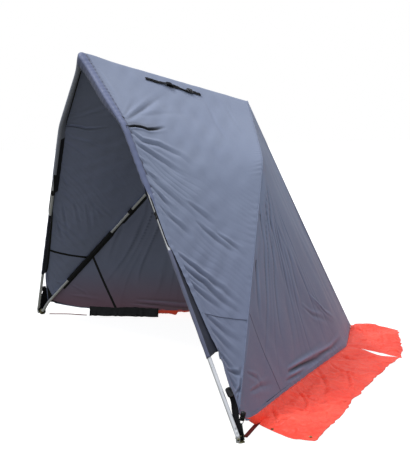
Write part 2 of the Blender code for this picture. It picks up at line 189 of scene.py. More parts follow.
def seen_on(pixels, corner, normal):
    """Where the photograph's pixels fall on a plane given by a point and its normal."""
    right, up, forward = camera_axes()
    pixels = np.asarray(pixels, float)
    across = (pixels[..., 0] - PHOTO_CENTRE[0]) / FOCAL_PIXELS
    above = (PHOTO_CENTRE[1] - pixels[..., 1]) / FOCAL_PIXELS
    rays = forward + across[..., None] * right + above[..., None] * up
    reach = ((corner - CAMERA_PLACE) * normal).sum(-1) / (rays * normal).sum(-1)
    return CAMERA_PLACE + rays * reach[..., None]


def make_camera():
    """The camera of the photograph, with its picture's centre off the middle by a few pixels."""
    camera = bpy.data.objects.new("camera", bpy.data.cameras.new("camera"))
    right, up, forward = camera_axes()
    place = Matrix.Identity(4)
    for row in range(3):
        place[row][0], place[row][1], place[row][2] = right[row], up[row], -forward[row]
        place[row][3] = CAMERA_PLACE[row]
    camera.matrix_world = place
    camera.data.sensor_width = SENSOR
    camera.data.lens = SENSOR * FOCAL_PIXELS / max(PHOTO_SIZE)
    camera.data.shift_x = (PHOTO_SIZE[0] / 2 - PHOTO_CENTRE[0]) / max(PHOTO_SIZE)
    camera.data.shift_y = (PHOTO_CENTRE[1] - PHOTO_SIZE[1] / 2) / max(PHOTO_SIZE)
    bpy.context.scene.collection.objects.link(camera)
    bpy.context.scene.camera = camera


# Meshes from grids of points.


def grid(rows, cols, closed=False, turned=False):
    """Quads between neighbours of a grid. A closed grid joins its last column to its first."""
    first = np.arange(rows - 1)[:, None] * cols
    column = np.arange(cols if closed else cols - 1)[None, :]
    after = (column + 1) % cols
    quads = np.stack([first + column, first + after, first + cols + after, first + cols + column], axis=-1)
    quads = quads.reshape(-1, 4)
    return quads[:, ::-1] if turned else quads


def make_piece(name, points, faces, finishes, uv=None, chosen=None):
    """An object from points and faces, smooth shaded. chosen gives each face the index of its finish."""
    mesh = bpy.data.meshes.new(name)
    mesh.from_pydata(np.asarray(points, float).reshape(-1, 3).tolist(), [], [list(face) for face in faces])
    for finish in finishes:
        mesh.materials.append(finish)
    if chosen is not None:
        mesh.polygons.foreach_set("material_index", np.asarray(chosen, np.int32).ravel())
    if uv is not None:
        corner = np.empty(len(mesh.loops), np.int32)
        mesh.loops.foreach_get("vertex_index", corner)
        layer = mesh.uv_layers.new(name="cut")
        layer.data.foreach_set("uv", np.asarray(uv, np.float32).reshape(-1, 2)[corner].ravel())
    mesh.shade_smooth()
    piece = bpy.data.objects.new(name, mesh)
    bpy.context.scene.collection.objects.link(piece)
    return piece


def thicken(piece, thickness, inner=0):
    """Gives a sheet its thickness on its inner side, with the finish that many slots further on there."""
    wall = piece.modifiers.new("thickness", "SOLIDIFY")
    wall.thickness = thickness
    wall.offset = -1.0
    wall.material_offset = inner
    return piece


def harden(piece, degrees):
    """Keeps edges sharper than an angle as edges."""
    piece.data.set_sharp_from_angle(angle=math.radians(degrees))
    return piece


def add_fold_shade(piece, values):
    """Gives a cloth's points an attribute that its finish reads: painted shade in hollows, painted highlight
    on ridges.
    """
    layer = piece.data.attributes.new("fold", "FLOAT", "POINT")
    layer.data.foreach_set("value", np.asarray(values, np.float32).ravel())


def area_of(points):
    """Area of a grid of points, as the sum of its quads' half diagonal products."""
    first = points[1:, 1:] - points[:-1, :-1]
    second = points[1:, :-1] - points[:-1, 1:]
    return float(np.linalg.norm(np.cross(first, second), axis=-1).sum() / 2)


def carried(path, sides, lifts, section):
    """A section of (side, lift) pairs carried along a path, as a grid with one row for each path point."""
    section = np.broadcast_to(section, (len(path), *np.shape(section)[-2:]))
    return path[:, None] + section[..., :1] * sides[:, None] + section[..., 1:] * lifts[:, None]


def frames_along(path, lift):
    """Side and lift vectors square to the path, with the lift as near as can be to the one given."""
    run = unit(np.gradient(path, axis=0))
    lift = np.broadcast_to(lift, path.shape)
    lift = unit(lift - run * (run * lift).sum(-1, keepdims=True))
    return np.cross(lift, run), lift


def make_bar(name, path, lift, section, finishes, chosen=None):
    """A closed bar: a closed section carried along a path, with both ends filled."""
    path = np.asarray(path, float)
    sides, lifts = frames_along(path, lift)
    points = carried(path, sides, lifts, section)
    rows, cols = points.shape[:2]
    quads = grid(rows, cols, closed=True)
    faces = [*quads.tolist(), list(range(cols))[::-1], list(range((rows - 1) * cols, rows * cols))]
    length = np.concatenate([[0.0], np.cumsum(np.linalg.norm(np.diff(path, axis=0), axis=1))])
    around = np.linspace(0.0, 1.0, cols, endpoint=False)
    uv = stacked(around[None, :] * 0.05, length[:, None])
    return make_piece(name, points, faces, finishes, uv, chosen)


def turns(count):
    """Angles once round a circle, without its end."""
    return np.linspace(0.0, 2 * math.pi, count, endpoint=False)


def rounds(radii, count=40):
    """A tube's circular sections, one for each radius."""
    turn = turns(count)
    return np.stack([np.cos(turn), np.sin(turn)], axis=-1)[None] * radii[:, None, None]


def lozenge(width, thickness, edge=0.35, count=24):
    """A flat band's section with rounded edges: a circle pressed to a rounded rectangle."""
    turn = turns(count)
    across, up = np.cos(turn), np.sin(turn)
    wide = np.sign(across) * np.abs(across) ** edge * width / 2
    high = np.sign(up) * np.abs(up) ** edge * thickness / 2
    return np.stack([wide, high], axis=-1)


# Cloth surfaces of the right side.


def bent(place, width, before, after, first, bend, last):
    """Along two straight lines that meet at a bend where place is 0, rounded over about the width."""
    width = width * np.clip(1 - np.abs(place) / np.where(place < 0, before, after), 0, 1) ** 0.5
    root = np.sqrt(place * place + width * width)
    low = ((place - root) / 2 / before)[..., None]
    high = ((place + root) / 2 / after)[..., None]
    return bend + (bend - first) * low + (last - bend) * high


def ridge_drop(across, width):
    """How far a ridge rounded over a width lies below its sharp line, as a drop that dies out sideways."""
    slope = (FRONT_APEX[2] - FRONT_KNEE[2]) / FRONT_KNEE[0]
    return slope * (np.sqrt(across * across + width * width) - np.abs(across))


def apex_push(across, back):
    """The front apex fitting's push on the cloth, up and forwards: bell curves of both distances from it."""
    forward = -0.008 * np.exp(-back / 0.03)
    upward = APEX_LIFT * np.exp(-(((back - 0.03) / 0.09) ** 2))
    push = stacked(0.0 * across, forward, upward)
    return push * np.exp(-((across / 0.06) ** 2))[..., None]


def hem_swing(down):
    """Share of the lower front hem's distance behind the leg: none at the sleeve's start, all at its end."""
    opened = np.clip((down - HEM_OPENS) / (1 - HEM_OPENS), 0, 1)
    return (opened**0.7 * smooth(opened / 0.12))[..., None]


BASE_RUN = unit((CORNER_BEHIND - CORNER) * np.array((1, 1, 0)))
BASE_OUT = np.array((BASE_RUN[1], -BASE_RUN[0], 0.0))
WALL_LEAN = 0.274


def base_sag(share):
    """How the wall's lower edge hangs below a straight line from corner to corner, along the wall's slope.

    The edge falls steeply for a few centimetres, then slowly to the ground.
    """
    share = np.clip(share, 0, 1)
    height = 0.044 * np.exp(-share / 0.03) + 0.042 * (1 - share**1.6)
    drop = CORNER_HEIGHT * (1 - share) - height
    return drop[..., None] * (BASE_OUT * WALL_LEAN - np.array((0.0, 0.0, 1.0)))


def left_rise(share):
    """How much higher the wall's lower edge hangs on the left side."""
    share = np.clip(share, 0, 1)
    return 0.040 * share**1.3 * smooth((1 - share) / 0.35) + 0.024 * share / 0.05 * np.exp(1 - share / 0.05)


def canopy_base(back, down):
    """Ruled from the front hoop to the rear one. down is -1 at the ridge, 0 at the knees, 1 at the lower hem.

    Below the knees the front edge follows the leg, and swings back from it where the sleeve begins.
    """
    back, down = np.broadcast_arrays(np.asarray(back, float), np.asarray(down, float))
    width = BEND_AT_HOOP + (BEND_MIDWAY - BEND_AT_HOOP) * np.clip(4 * back * (1 - back), 0, 1)
    front = bent(down, width, 1.0, 1.0, FRONT_APEX, FRONT_KNEE, LEG_END)
    front = front + BACKWARD * HEM_BEHIND * hem_swing(down)
    rear = bent(down, width, 1.0, 1.0, REAR_APEX, REAR_KNEE, CORNER)
    points = front + (rear - front) * back[..., None]
    rounding = RIDGE_ROUND + (APEX_ROUND - RIDGE_ROUND) * np.exp(-((back / 0.05) ** 2))
    points += apex_push(points[..., 0], back)
    points[..., 2] -= ridge_drop(points[..., 0], rounding)
    return points


def wall_base(along, up):
    """Ruled from the ground line to the rear hoop. along is 0 at the lower corner and 1 at the middle."""
    along, up = np.broadcast_arrays(np.asarray(along, float), np.asarray(up, float))
    place = along - WALL_SHARE
    width = 0.02 + 0.08 * np.clip(4 * up * (1 - up), 0, 1)
    low = bent(place, width, WALL_SHARE, 1 - WALL_SHARE, CORNER, CORNER_BEHIND, TIP)
    low += base_sag(along / WALL_SHARE)
    high = bent(place, width, WALL_SHARE, 1 - WALL_SHARE, CORNER, REAR_KNEE, REAR_APEX)
    return low + (high - low) * up[..., None]


def normals_of(surface, first, second, order):
    """Unit normals of a surface, as the cross product of its runs along both shares."""
    step = 1e-4
    run_one = surface(first + step, second) - surface(first - step, second)
    run_two = surface(first, second + step) - surface(first, second - step)
    return unit(np.cross(run_one, run_two) * order)


def shares_at(surface, targets, first, second):
    """The two shares where a surface comes nearest to target points, by ten Gauss-Newton steps."""
    step = 1e-3
    first, second = np.full(len(targets), float(first)), np.full(len(targets), float(second))
    for _ in range(10):
        gap = targets - surface(first, second)
        one = (surface(first + step, second) - surface(first - step, second)) / (2 * step)
        two = (surface(first, second + step) - surface(first, second - step)) / (2 * step)
        a, b, c = (one * one).sum(-1), (one * two).sum(-1), (two * two).sum(-1)
        d, e = (gap * one).sum(-1), (gap * two).sum(-1)
        first = np.clip(first + (d * c - e * b) / (a * c - b * b), 0.002, 0.998)
        second = np.clip(second + (e * a - d * b) / (a * c - b * b), -0.998, 0.998)
    return first, second


def fold_line(points, normals, curve, width, depth, lip=0.6):
    """A valley along a curve of points with a raised lip above it, as bell curves of the distance from it.

    The valley starts narrow, widens along the curve, and fades out at both ends.
    """
    lengths = np.linalg.norm(np.diff(curve, axis=0), axis=1)
    begun = np.concatenate([[0.0], np.cumsum(lengths)])
    nearest = np.full(points.shape[:-1], np.inf)
    aside = np.zeros(points.shape[:-1])
    share = np.zeros(points.shape[:-1])
    for start, end, length, before in zip(curve[:-1], curve[1:], lengths, begun):
        run = (end - start) / length
        place = np.clip((points - start) @ run, 0.0, length)
        offset = points - start - run * place[..., None]
        side = (offset * np.cross(normals, run)).sum(-1)
        gap = np.linalg.norm(offset, axis=-1)
        closer = gap < nearest
        aside = np.where(closer, np.sign(side) * gap, aside)
        share = np.where(closer, (before + place) / begun[-1], share)
        nearest = np.minimum(nearest, gap)
    fade = np.sin(math.pi * share**0.65) ** 1.3
    away = aside / (width * (0.55 + 0.9 * share))
    valley = -np.exp(-1.4 * np.abs(away) ** 1.3) + lip * np.exp(-(((away - 1.6) / 0.9) ** 2))
    valley += 0.3 * np.exp(-((away + 2.0) ** 2))
    return depth * fade * valley


def hollows(points, base, normals, scale):
    """How far a cloth lies below (1) or above (-1) its surroundings, the grid points three steps away."""
    lift = ((points - base) * normals).sum(-1)
    wide = np.pad(lift, 3, mode="edge")
    around = (wide[:-6, 3:-3] + wide[6:, 3:-3] + wide[3:-3, :-6] + wide[3:-3, 6:]) / 4
    return np.clip((around - lift) / scale, -1, 1)


def ripples(first, second, seed, count, size, stretch=1.0):
    """A sum of plane waves with random directions and phases, between about -1 and 1."""
    draw = np.random.default_rng(seed)
    total = np.zeros(np.broadcast(first, second).shape)
    for _ in range(count):
        turn, phase = draw.uniform(0, 2 * math.pi, 2)
        wave = 2 * math.pi / (size * draw.uniform(0.6, 1.6))
        total += np.sin(wave * (first * math.cos(turn) * stretch + second * math.sin(turn)) + phase)
    return total / math.sqrt(count)


# Folds, each by the photograph's pixels along its valley, then its width and depth in metres.
GORE_FOLDS = (
    (((126, 129), (131, 131), (143, 141), (159, 145), (180, 155.6), (197.7, 169.6)), 0.012, 0.0085),
    (((133, 139), (139.5, 145.8), (152, 153.5), (166, 163), (180, 173), (190.7, 178.8)), 0.011, 0.0085),
    (((134, 151), (138, 157.7), (151, 168)), 0.007, 0.0060),
    (((138, 160), (150, 176), (176, 199), (205, 222)), 0.013, 0.0060),
    (((148, 171), (151.4, 175), (160, 182)), 0.006, 0.0060),
    (((150, 184), (159, 194), (168, 206)), 0.007, 0.0060),
    (((158, 191), (164, 199), (175, 212)), 0.007, 0.0065),
    (((160, 205), (167, 213.8), (172, 221.8)), 0.006, 0.0055),
    (((164, 207), (171, 216.4), (196, 237.9)), 0.010, 0.0075),
    (((186, 200), (200.5, 211), (223, 229.8)), 0.012, 0.0055),
    (((196, 219), (207, 229.8), (228.6, 247), (247, 258)), 0.011, 0.0065),
    (((218, 232), (228.6, 240.5), (239, 248.6), (248.7, 259.3)), 0.009, 0.0065),
    (((172, 250), (181.7, 256), (197, 267), (212.8, 279.8), (224, 287.8), (248, 314)), 0.010, 0.0090),
    (((180, 263), (189.7, 271), (204.8, 281.4), (224, 300.5), (247, 318)), 0.010, 0.0090),
    (((184, 276), (192.9, 284.6), (209.6, 299), (224, 310)), 0.009, 0.0080),
    (((204, 313), (216, 323), (231, 336), (246, 345)), 0.011, 0.0060),
    (((210, 326), (224, 342), (243, 362)), 0.010, 0.0055),
    (((220, 352), (232, 369), (244, 383)), 0.008, 0.0055),
    (((226, 370), (240, 374), (252, 375)), 0.007, 0.0070),
    (((228, 384), (238, 391), (249, 392)), 0.006, 0.0060),
    (((234, 398), (241, 388), (248, 380)), 0.006, 0.0055),
    (((236, 404), (246, 396), (254, 384)), 0.006, 0.0055),
)
ROOF_FOLDS = (
    (((126, 120), (131.4, 116.5), (149.3, 103.8), (167, 91)), 0.013, 0.0065),
    (((128, 121), (140, 115), (165, 112), (197.8, 111.4)), 0.012, 0.0014),
    (((124, 117), (131, 105), (139, 93)), 0.009, 0.0015),
    (((96, 66), (110, 88), (122, 112)), 0.010, 0.0020),
    (((205.4, 100), (216, 122), (228.4, 145.9)), 0.009, 0.0018),
    (((222, 100), (234, 120), (246, 140)), 0.008, 0.0015),
)
WALL_FOLDS = (
    (((258, 192), (262, 225), (268, 262)), 0.010, 0.0040),
    (((264, 196), (272, 240), (281, 290)), 0.011, 0.0040),
    (((268, 205), (280, 250), (292, 300)), 0.013, 0.0040),
    (((256, 250), (258, 290), (262, 330)), 0.012, 0.0040),
    (((275, 214), (290, 250), (306, 290)), 0.014, 0.0040),
    (((310, 290), (313.8, 296), (328.6, 312), (342, 318.8)), 0.008, 0.0140),
    (((302, 303), (315, 314), (333, 320)), 0.010, 0.0050),
    (((288, 372), (300, 366), (318, 358), (332, 349)), 0.015, 0.0180),
    (((286, 381), (300, 373), (316, 362)), 0.012, 0.0070),
    (((316, 356), (332, 348), (345, 336)), 0.010, 0.0070),
    (((250, 392), (262, 386), (276, 384)), 0.012, 0.0040),
    (((246, 372), (258, 378), (266, 392)), 0.010, 0.0030),
)
LEFT_FOLDS = (
    (((54, 212), (54.9, 219), (64.8, 249.8)), 0.010, 0.0060),
    (((61, 200), (63, 216), (67, 245)), 0.010, 0.0050),
    (((73, 200), (74.8, 208), (79.8, 233)), 0.011, 0.0050),
    (((84, 198), (87, 215), (89, 236)), 0.011, 0.0045),
    (((92, 200), (93, 208), (95.5, 227)), 0.011, 0.0045),
    (((106, 111), (95, 117), (81, 124.5)), 0.010, 0.0050),
)
FOLD_RUN_PIXELS = ((176, 199), (205, 222))
PLEAT = ((119, 128.4), (127, 126.8), (134, 125.8), (141, 126.8), (148, 129.0), (155, 128.4), (167, 125.8))


def plane_through(one, two, three):
    """A point on the plane through three points, and its normal."""
    return one, unit(np.cross(two - one, three - one))


GORE_PLANE = plane_through(FRONT_KNEE, SLEEVE_END, REAR_KNEE)
FOLD_START, FOLD_END = seen_on(FOLD_RUN_PIXELS, *GORE_PLANE)
FOLD_RUN = unit(FOLD_END - FOLD_START)
FOLD_ACROSS = unit(np.cross(GORE_PLANE[1], FOLD_RUN))
ROOF_PLANE = plane_through(FRONT_APEX, FRONT_KNEE, REAR_APEX)
WALL_PLANE = plane_through(CORNER, CORNER_BEHIND, REAR_KNEE)
LEFT_GORE_PLANE = tuple(vector * MIRROR for vector in GORE_PLANE)


def seen_on_canopy(pixels):
    """Where pixels fall on the right canopy: cast six times onto its slope at the last place found."""
    corner, normal = GORE_PLANE
    for _ in range(6):
        back, down = shares_at(canopy_base, seen_on(pixels, corner, normal), 0.3, 0.1)
        corner, normal = canopy_base(back, down), normals_of(canopy_base, back, down, -1)
    return corner


def folds_on(folds, plane, points, normals, strength=1.0):
    """The sum of the folds that the photograph shows on a plane."""
    total = np.zeros(points.shape[:-1])
    for pixels, width, depth in folds:
        total += fold_line(points, normals, seen_on(pixels, *plane), width, depth * strength)
    return total


# The canopy's folds as curves on it. The left side's are seen from inside, and mirrored to the right side.
CANOPY_CURVES = [(seen_on_canopy(pixels), width, depth) for pixels, width, depth in GORE_FOLDS + ROOF_FOLDS]
LEFT_CURVES = [
    (seen_on(pixels, *LEFT_GORE_PLANE) * MIRROR, width, depth) for pixels, width, depth in LEFT_FOLDS
]
PLEAT_CURVE = seen_on_canopy(PLEAT)


def canopy_skin(back, down, sign):
    """The canopy's outer face and its normals, on one side.

    The ruled base is moved along its normals by a sine-shaped sag, bell-shaped fold lines, plane waves,
    ridged ripples and sine puckers that die out from both hoops.
    """
    back, down = np.broadcast_arrays(np.asarray(back, float), np.asarray(down, float))
    points = canopy_base(back, down)
    if sign < 0:
        points = points - BACKWARD * LEFT_HEM_LESS * hem_swing(down) * (1 - back)[..., None]
    normals = normals_of(canopy_base, back, down, -1)
    spread = np.clip(4 * back * (1 - back), 0, 1)
    roof = np.clip(-down, 0, 1)
    gore = np.clip(down, 0, 1)
    lift = -(ROOF_SAG * np.sin(math.pi * roof) + GORE_SAG * np.sin(math.pi * gore)) * spread
    strength = 1.0 if sign > 0 else 0.35
    folds = np.zeros(points.shape[:-1])
    for curve, width, depth in CANOPY_CURVES:
        folds += fold_line(points, normals, curve, width * 1.15, depth * strength * 0.85)
    for curve, width, depth in LEFT_CURVES if sign < 0 else ():
        folds += fold_line(points, normals, curve, width, depth)
    folds += 0.0010 * ripples(points[..., 1], points[..., 2], 11 + sign, 9, 0.34) * spread
    folds += 0.0010 * ripples(points[..., 1], points[..., 2], 21 + sign, 9, 0.10) * spread
    place, way = points @ FOLD_ACROSS, points @ FOLD_RUN
    fine = 1 - np.abs(np.sin(place * 105 + 1.7 * np.sin(way * 7 + place * 21) + 0.9 * np.sin(way * 19)))
    patchy = 0.3 + 0.7 * np.clip(0.5 + ripples(place, way, 41 + sign, 7, 0.30), 0, 1)
    in_front = 0.35 + 0.65 * np.exp(-((back / 0.5) ** 2))
    folds -= 0.0018 * fine**2 * patchy * smooth((down - 0.04) / 0.15) * in_front
    low_edge = 0.2 + 0.8 * smooth((1 - down) / 0.06)
    lift = lift + folds * smooth(back / 0.035) * smooth((1 - back) / 0.05) * low_edge
    run = down * 1.2
    pucker = np.sin(2 * math.pi * run / 0.043 + 2.2 * np.sin(run * 17)) * np.exp(-back / 0.035)
    pucker += 0.8 * np.sin(2 * math.pi * run / 0.036 + 1.7 * np.sin(run * 13)) * np.exp(-(1 - back) / 0.04)
    uneven = 0.55 + 0.45 * np.sin(run * 23 + 1.3 * np.sin(run * 9))
    lift = lift + 0.0013 * pucker * uneven * smooth(back / 0.02) * smooth((1 - back) / 0.015)
    lift = lift + fold_line(points, normals, PLEAT_CURVE, 0.0065, 0.020, lip=0.55) * (0.4 + 0.6 * (sign > 0))
    overhang = np.clip(fold_line(points, normals, PLEAT_CURVE, 0.0065, 0.010, lip=1.0), 0, None)
    points = points + normals * lift[..., None]
    points[..., 2] -= overhang * 0.8 * (sign > 0)
    return points * mirrored(sign), normals * mirrored(sign)


def wall_skin(along, up, sign):
    """The wall's outer face and its normals, on one side.

    The ruled base is moved along its normals by a sag, bell-shaped fold lines, plane waves, upright sine
    drapes, and ridged creases that fan out by their angle at the rear knee.
    """
    along, up = np.broadcast_arrays(np.asarray(along, float), np.asarray(up, float))
    points = wall_base(along, up)
    inner = np.clip(along, 2e-3, 1 - 2e-4)
    normals = normals_of(wall_base, inner, np.clip(up, 2e-3, 1 - 2e-3), 1)
    if sign < 0:
        points[..., 2] += left_rise(along / WALL_SHARE) * (1 - up) ** 3
    spread = np.clip(4 * up * (1 - up), 0, 1)
    folds = folds_on(WALL_FOLDS, WALL_PLANE, points, normals, 1.0 if sign > 0 else 0.6)
    waves = ripples(points[..., 0] - points[..., 1], points[..., 2], 31 + sign, 9, 0.40)
    drape = np.sin(along * 71 + 2.0 * np.sin(along * 23)) * smooth(up / 0.3) * smooth((1 - up) / 0.12)
    edge = smooth(up / 0.05) * smooth((1 - up) / 0.04) * smooth(along / 0.06) * smooth((1 - along) / 0.02)
    lift = -WALL_SAG * spread * smooth(along / 0.3) + (folds + 0.0024 * waves + 0.0010 * drape) * edge
    from_knee = points - REAR_KNEE
    reach = np.linalg.norm(from_knee, axis=-1)
    turn = np.arctan2(from_knee @ unit(CORNER_BEHIND - CORNER), -from_knee[..., 2])
    creases = 1 - np.abs(np.sin(turn * 27 + 1.9 * np.sin(turn * 15) + 0.8 * np.sin(reach * 9 + turn * 15)))
    fan = creases**1.7 * smooth((reach - 0.04) / 0.15) * smooth((1.15 - reach) / 0.7)
    fan *= smooth((0.71 - along) / 0.06)
    uneven = 0.6 + 0.4 * np.sin(turn * 31 + reach * 7)
    lift = lift - 0.0062 * fan * uneven * edge * smooth((1 - up - 0.02) / 0.05)
    pucker = np.sin(along * 190 + 2.5 * np.sin(along * 41)) * np.exp(-up / 0.03)
    lift = lift + 0.0016 * pucker * smooth(along / 0.1)
    points = points + normals * lift[..., None]
    return points * mirrored(sign), normals * mirrored(sign)


# Finishes.


class Shade:
    """A number in a material. Reckoning with it adds Math nodes."""

    def __init__(self, finish, socket):
        self.finish = finish
        self.socket = socket

    def __add__(self, other):
        return self.finish.maths("ADD", self, other)

    def __sub__(self, other):
        return self.finish.maths("SUBTRACT", self, other)

    def __rsub__(self, other):
        return self.finish.maths("SUBTRACT", other, self)

    def __mul__(self, other):
        return self.finish.maths("MULTIPLY", self, other)

    __radd__ = __add__
    __rmul__ = __mul__


class Nodes:
    """A node tree that is built one node at a time."""

    def __init__(self, tree):
        self.tree = tree

    def put(self, socket, value):
        if isinstance(value, Shade):
            self.tree.links.new(value.socket, socket)
        else:
            socket.default_value = value

    def node(self, kind, settings=None, sockets=None, out=0):
        """Adds a node: its settings first, then the values or links of its sockets. Returns one output."""
        made = self.tree.nodes.new(kind)
        for name, value in (settings or {}).items():
            if name == "stops":
                ramp = made.color_ramp.elements
                ramp[0].position, ramp[0].color = value[0]
                ramp[-1].position, ramp[-1].color = value[-1]
                for place, tint in value[1:-1]:
                    ramp.new(place).color = tint
            else:
                setattr(made, name, value)
        for name, value in (sockets or {}).items():
            self.put(made.inputs[name], value)
        return Shade(self, made.outputs[out])

    def maths(self, operation, first, second=0.0):
        return self.node("ShaderNodeMath", {"operation": operation}, {0: first, 1: second})

    def mix(self, share, first, second):
        """A colour between two, by a share."""
        sockets = {0: share, 6: first, 7: second}
        return self.node("ShaderNodeMix", {"data_type": "RGBA"}, sockets, out=2)


class Finish(Nodes):
    """A material built node by node round its Principled shader."""

    def __init__(self, name, colour, roughness, metallic=0.0):
        self.material = bpy.data.materials.new(name)
        self.material.use_nodes = True
        super().__init__(self.material.node_tree)
        self.shader = self.tree.nodes["Principled BSDF"]
        self.feed("Base Color", (*colour, 1.0))
        self.feed("Roughness", roughness)
        self.feed("Metallic", metallic)

    def feed(self, name, value):
        self.put(self.shader.inputs[name], value)

    def place(self, scale=(1.0, 1.0, 1.0), source="Object"):
        """Coordinates on the piece, in metres times the scale."""
        where = self.node("ShaderNodeTexCoord", out=source)
        return self.node("ShaderNodeMapping", {}, {"Vector": where, "Scale": scale})

    def noise(self, vector, scale, detail=3.0, roughness=0.5):
        sockets = {"Vector": vector, "Scale": scale, "Detail": detail, "Roughness": roughness}
        return self.node("ShaderNodeTexNoise", {}, sockets, out=0)

    def wave(self, vector, scale, direction):
        settings = {"wave_type": "BANDS", "bands_direction": direction}
        return self.node("ShaderNodeTexWave", settings, {"Vector": vector, "Scale": scale}, out="Fac")

    def ranged(self, value, low, high, to_low=0.0, to_high=1.0):
        sockets = {"Value": value, "From Min": low, "From Max": high, "To Min": to_low, "To Max": to_high}
        return self.node("ShaderNodeMapRange", {"interpolation_type": "SMOOTHSTEP"}, sockets)

    def bump(self, height, distance, strength=1.0):
        """Feeds the shader's normal from a height between 0 and 1, times a distance in metres."""
        sockets = {"Height": height, "Distance": distance, "Strength": strength}
        self.feed("Normal", self.node("ShaderNodeBump", {}, sockets))


def colour(hexadecimal, strength=1.0):
    """A linear colour from a screen colour written as six hexadecimal digits."""
    parts = [int(hexadecimal[place : place + 2], 16) / 255 for place in (0, 2, 4)]
    linear = [part / 12.92 if part <= 0.04045 else ((part + 0.055) / 1.055) ** 2.4 for part in parts]
    return tuple(strength * part for part in linear)


def coated_cloth(name, lit, dull, roughness, sheen, crumple=0.0005, low=None, creased=0.0):
    """Thin coated polyester: a plain weave, soft blotches, and small creases left by folding it away.

    low gives a tint near the ground and the two heights between which it fades out: painted shade that
    darkens the cloth towards the ground, and on the wall's lining painted red light from the flaps. A point
    attribute darkens the cloth where it is hollow and pales it where it stands out: painted shade and painted
    highlight.
    """
    finish = Finish(name, lit, roughness)
    blotch = finish.noise(finish.place(), 5.0, 4.0, 0.6)
    fine = finish.noise(finish.place(), 60.0, 2.0, 0.5)
    share = finish.ranged(blotch * 0.7 + fine * 0.3, 0.35, 0.65)
    tint = finish.mix(share, (*dull, 1.0), (*lit, 1.0))
    # Painted shade near the ground, and on the wall's lining painted red light from the flaps.
    if low:
        height = finish.node("ShaderNodeSeparateXYZ", {}, {"Vector": finish.place()}, out="Z")
        tint = finish.mix(finish.ranged(height, low[1], low[2]), (*low[0], 1.0), tint)
    # Painted shade in the hollows and painted highlight on the ridges, from the point attribute.
    fold = finish.node("ShaderNodeAttribute", {"attribute_name": "fold"}, out="Fac")
    painted_hollow_shade = tuple(part * 0.05 for part in lit)
    highlight_and_wear = tuple(part * 1.28 for part in lit)
    tint = finish.mix(finish.maths("MAXIMUM", fold, 0.0), tint, (*painted_hollow_shade, 1.0))
    tint = finish.mix(finish.maths("MAXIMUM", fold * -1.0, 0.0), tint, (*highlight_and_wear, 1.0))
    finish.feed("Base Color", tint)
    finish.feed("Roughness", finish.ranged(fine, 0.3, 0.7, roughness - 0.06, roughness + 0.06))
    finish.feed("Sheen Weight", sheen)
    finish.feed("Sheen Roughness", 0.45)
    cut = finish.place(source="UV")
    warp = finish.wave(cut, 210.0, "X")
    weft = finish.wave(cut, 210.0, "Y")
    small = finish.noise(finish.place(), 26.0, 3.0, 0.55)
    ridged = finish.maths("ABSOLUTE", small - 0.5)
    height = warp * weft * (0.000012 / crumple) + (1 - ridged * 2.0)
    if creased:
        drift = finish.node("ShaderNodeTexNoise", {}, {"Vector": finish.place(), "Scale": 9.0}, out="Color")
        sockets = {0: drift, 1: (0.12, 0.12, 0.12), 2: finish.place()}
        shifted = finish.node("ShaderNodeVectorMath", {"operation": "MULTIPLY_ADD"}, sockets)
        for scale, share in ((7.0, 1.0), (17.0, 0.5)):
            sockets = {"Vector": shifted, "Scale": scale}
            settings = {"feature": "DISTANCE_TO_EDGE"}
            cell = finish.node("ShaderNodeTexVoronoi", settings, sockets, out="Distance")
            height = height + finish.ranged(cell, 0.0, 0.16) * (creased * share)
    finish.bump(height, crumple)
    return finish.material


def with_painted_glow(material):
    """Gives the flap cloth a little red emission of its own: painted light that keeps it bright in shade."""
    shader = material.node_tree.nodes["Principled BSDF"]
    shader.inputs["Emission Color"].default_value = (1.0, 0.10, 0.05, 1.0)
    shader.inputs["Emission Strength"].default_value = 0.13
    return material


def webbing(name, base, light):
    """Woven strap: ribs across its run and a paler thread here and there."""
    finish = Finish(name, base, 0.75)
    cut = finish.place(source="UV")
    ribs = finish.wave(cut, 900.0 / 6.28, "Y")
    threads = finish.noise(finish.place(), 300.0, 2.0, 0.6)
    finish.feed("Base Color", finish.mix(finish.ranged(threads, 0.45, 0.8), (*base, 1.0), (*light, 1.0)))
    finish.bump(ribs * 0.7 + threads * 0.3, 0.0004)
    finish.feed("Specular IOR Level", 0.2)
    return finish.material


def aluminium():
    """Drawn tube: fine lines along it, faint handling marks and cloudier patches."""
    finish = Finish("aluminium tube", colour("f0f1f4"), 0.30, 0.55)
    drawn = finish.noise(finish.place(source="UV", scale=(900.0, 6.0, 1.0)), 1.0, 2.0, 0.5)
    cloud = finish.noise(finish.place(), 22.0, 4.0, 0.6)
    finish.feed("Roughness", finish.ranged(cloud * 0.6 + drawn * 0.4, 0.3, 0.7, 0.24, 0.44))
    finish.feed("Base Color", finish.mix(cloud, (*colour("e4e5e8"), 1.0), (*colour("fcfcfd"), 1.0)))
    finish.bump(drawn, 0.00003)
    return finish.material


def moulded_plastic(name, base, roughness=0.42):
    """Plastic with a fine grain, greyer and duller where it is rubbed."""
    finish = Finish(name, base, roughness)
    grain = finish.noise(finish.place(), 420.0, 2.0, 0.5)
    wear = finish.noise(finish.place(), 45.0, 4.0, 0.6)
    finish.feed("Roughness", finish.ranged(wear, 0.35, 0.7, roughness - 0.08, roughness + 0.14))
    rubbed = (*colour("3a3a3c"), 1.0)
    finish.feed("Base Color", finish.mix(finish.ranged(wear, 0.5, 0.8), (*base, 1.0), rubbed))
    finish.bump(grain, 0.00012)
    return finish.material


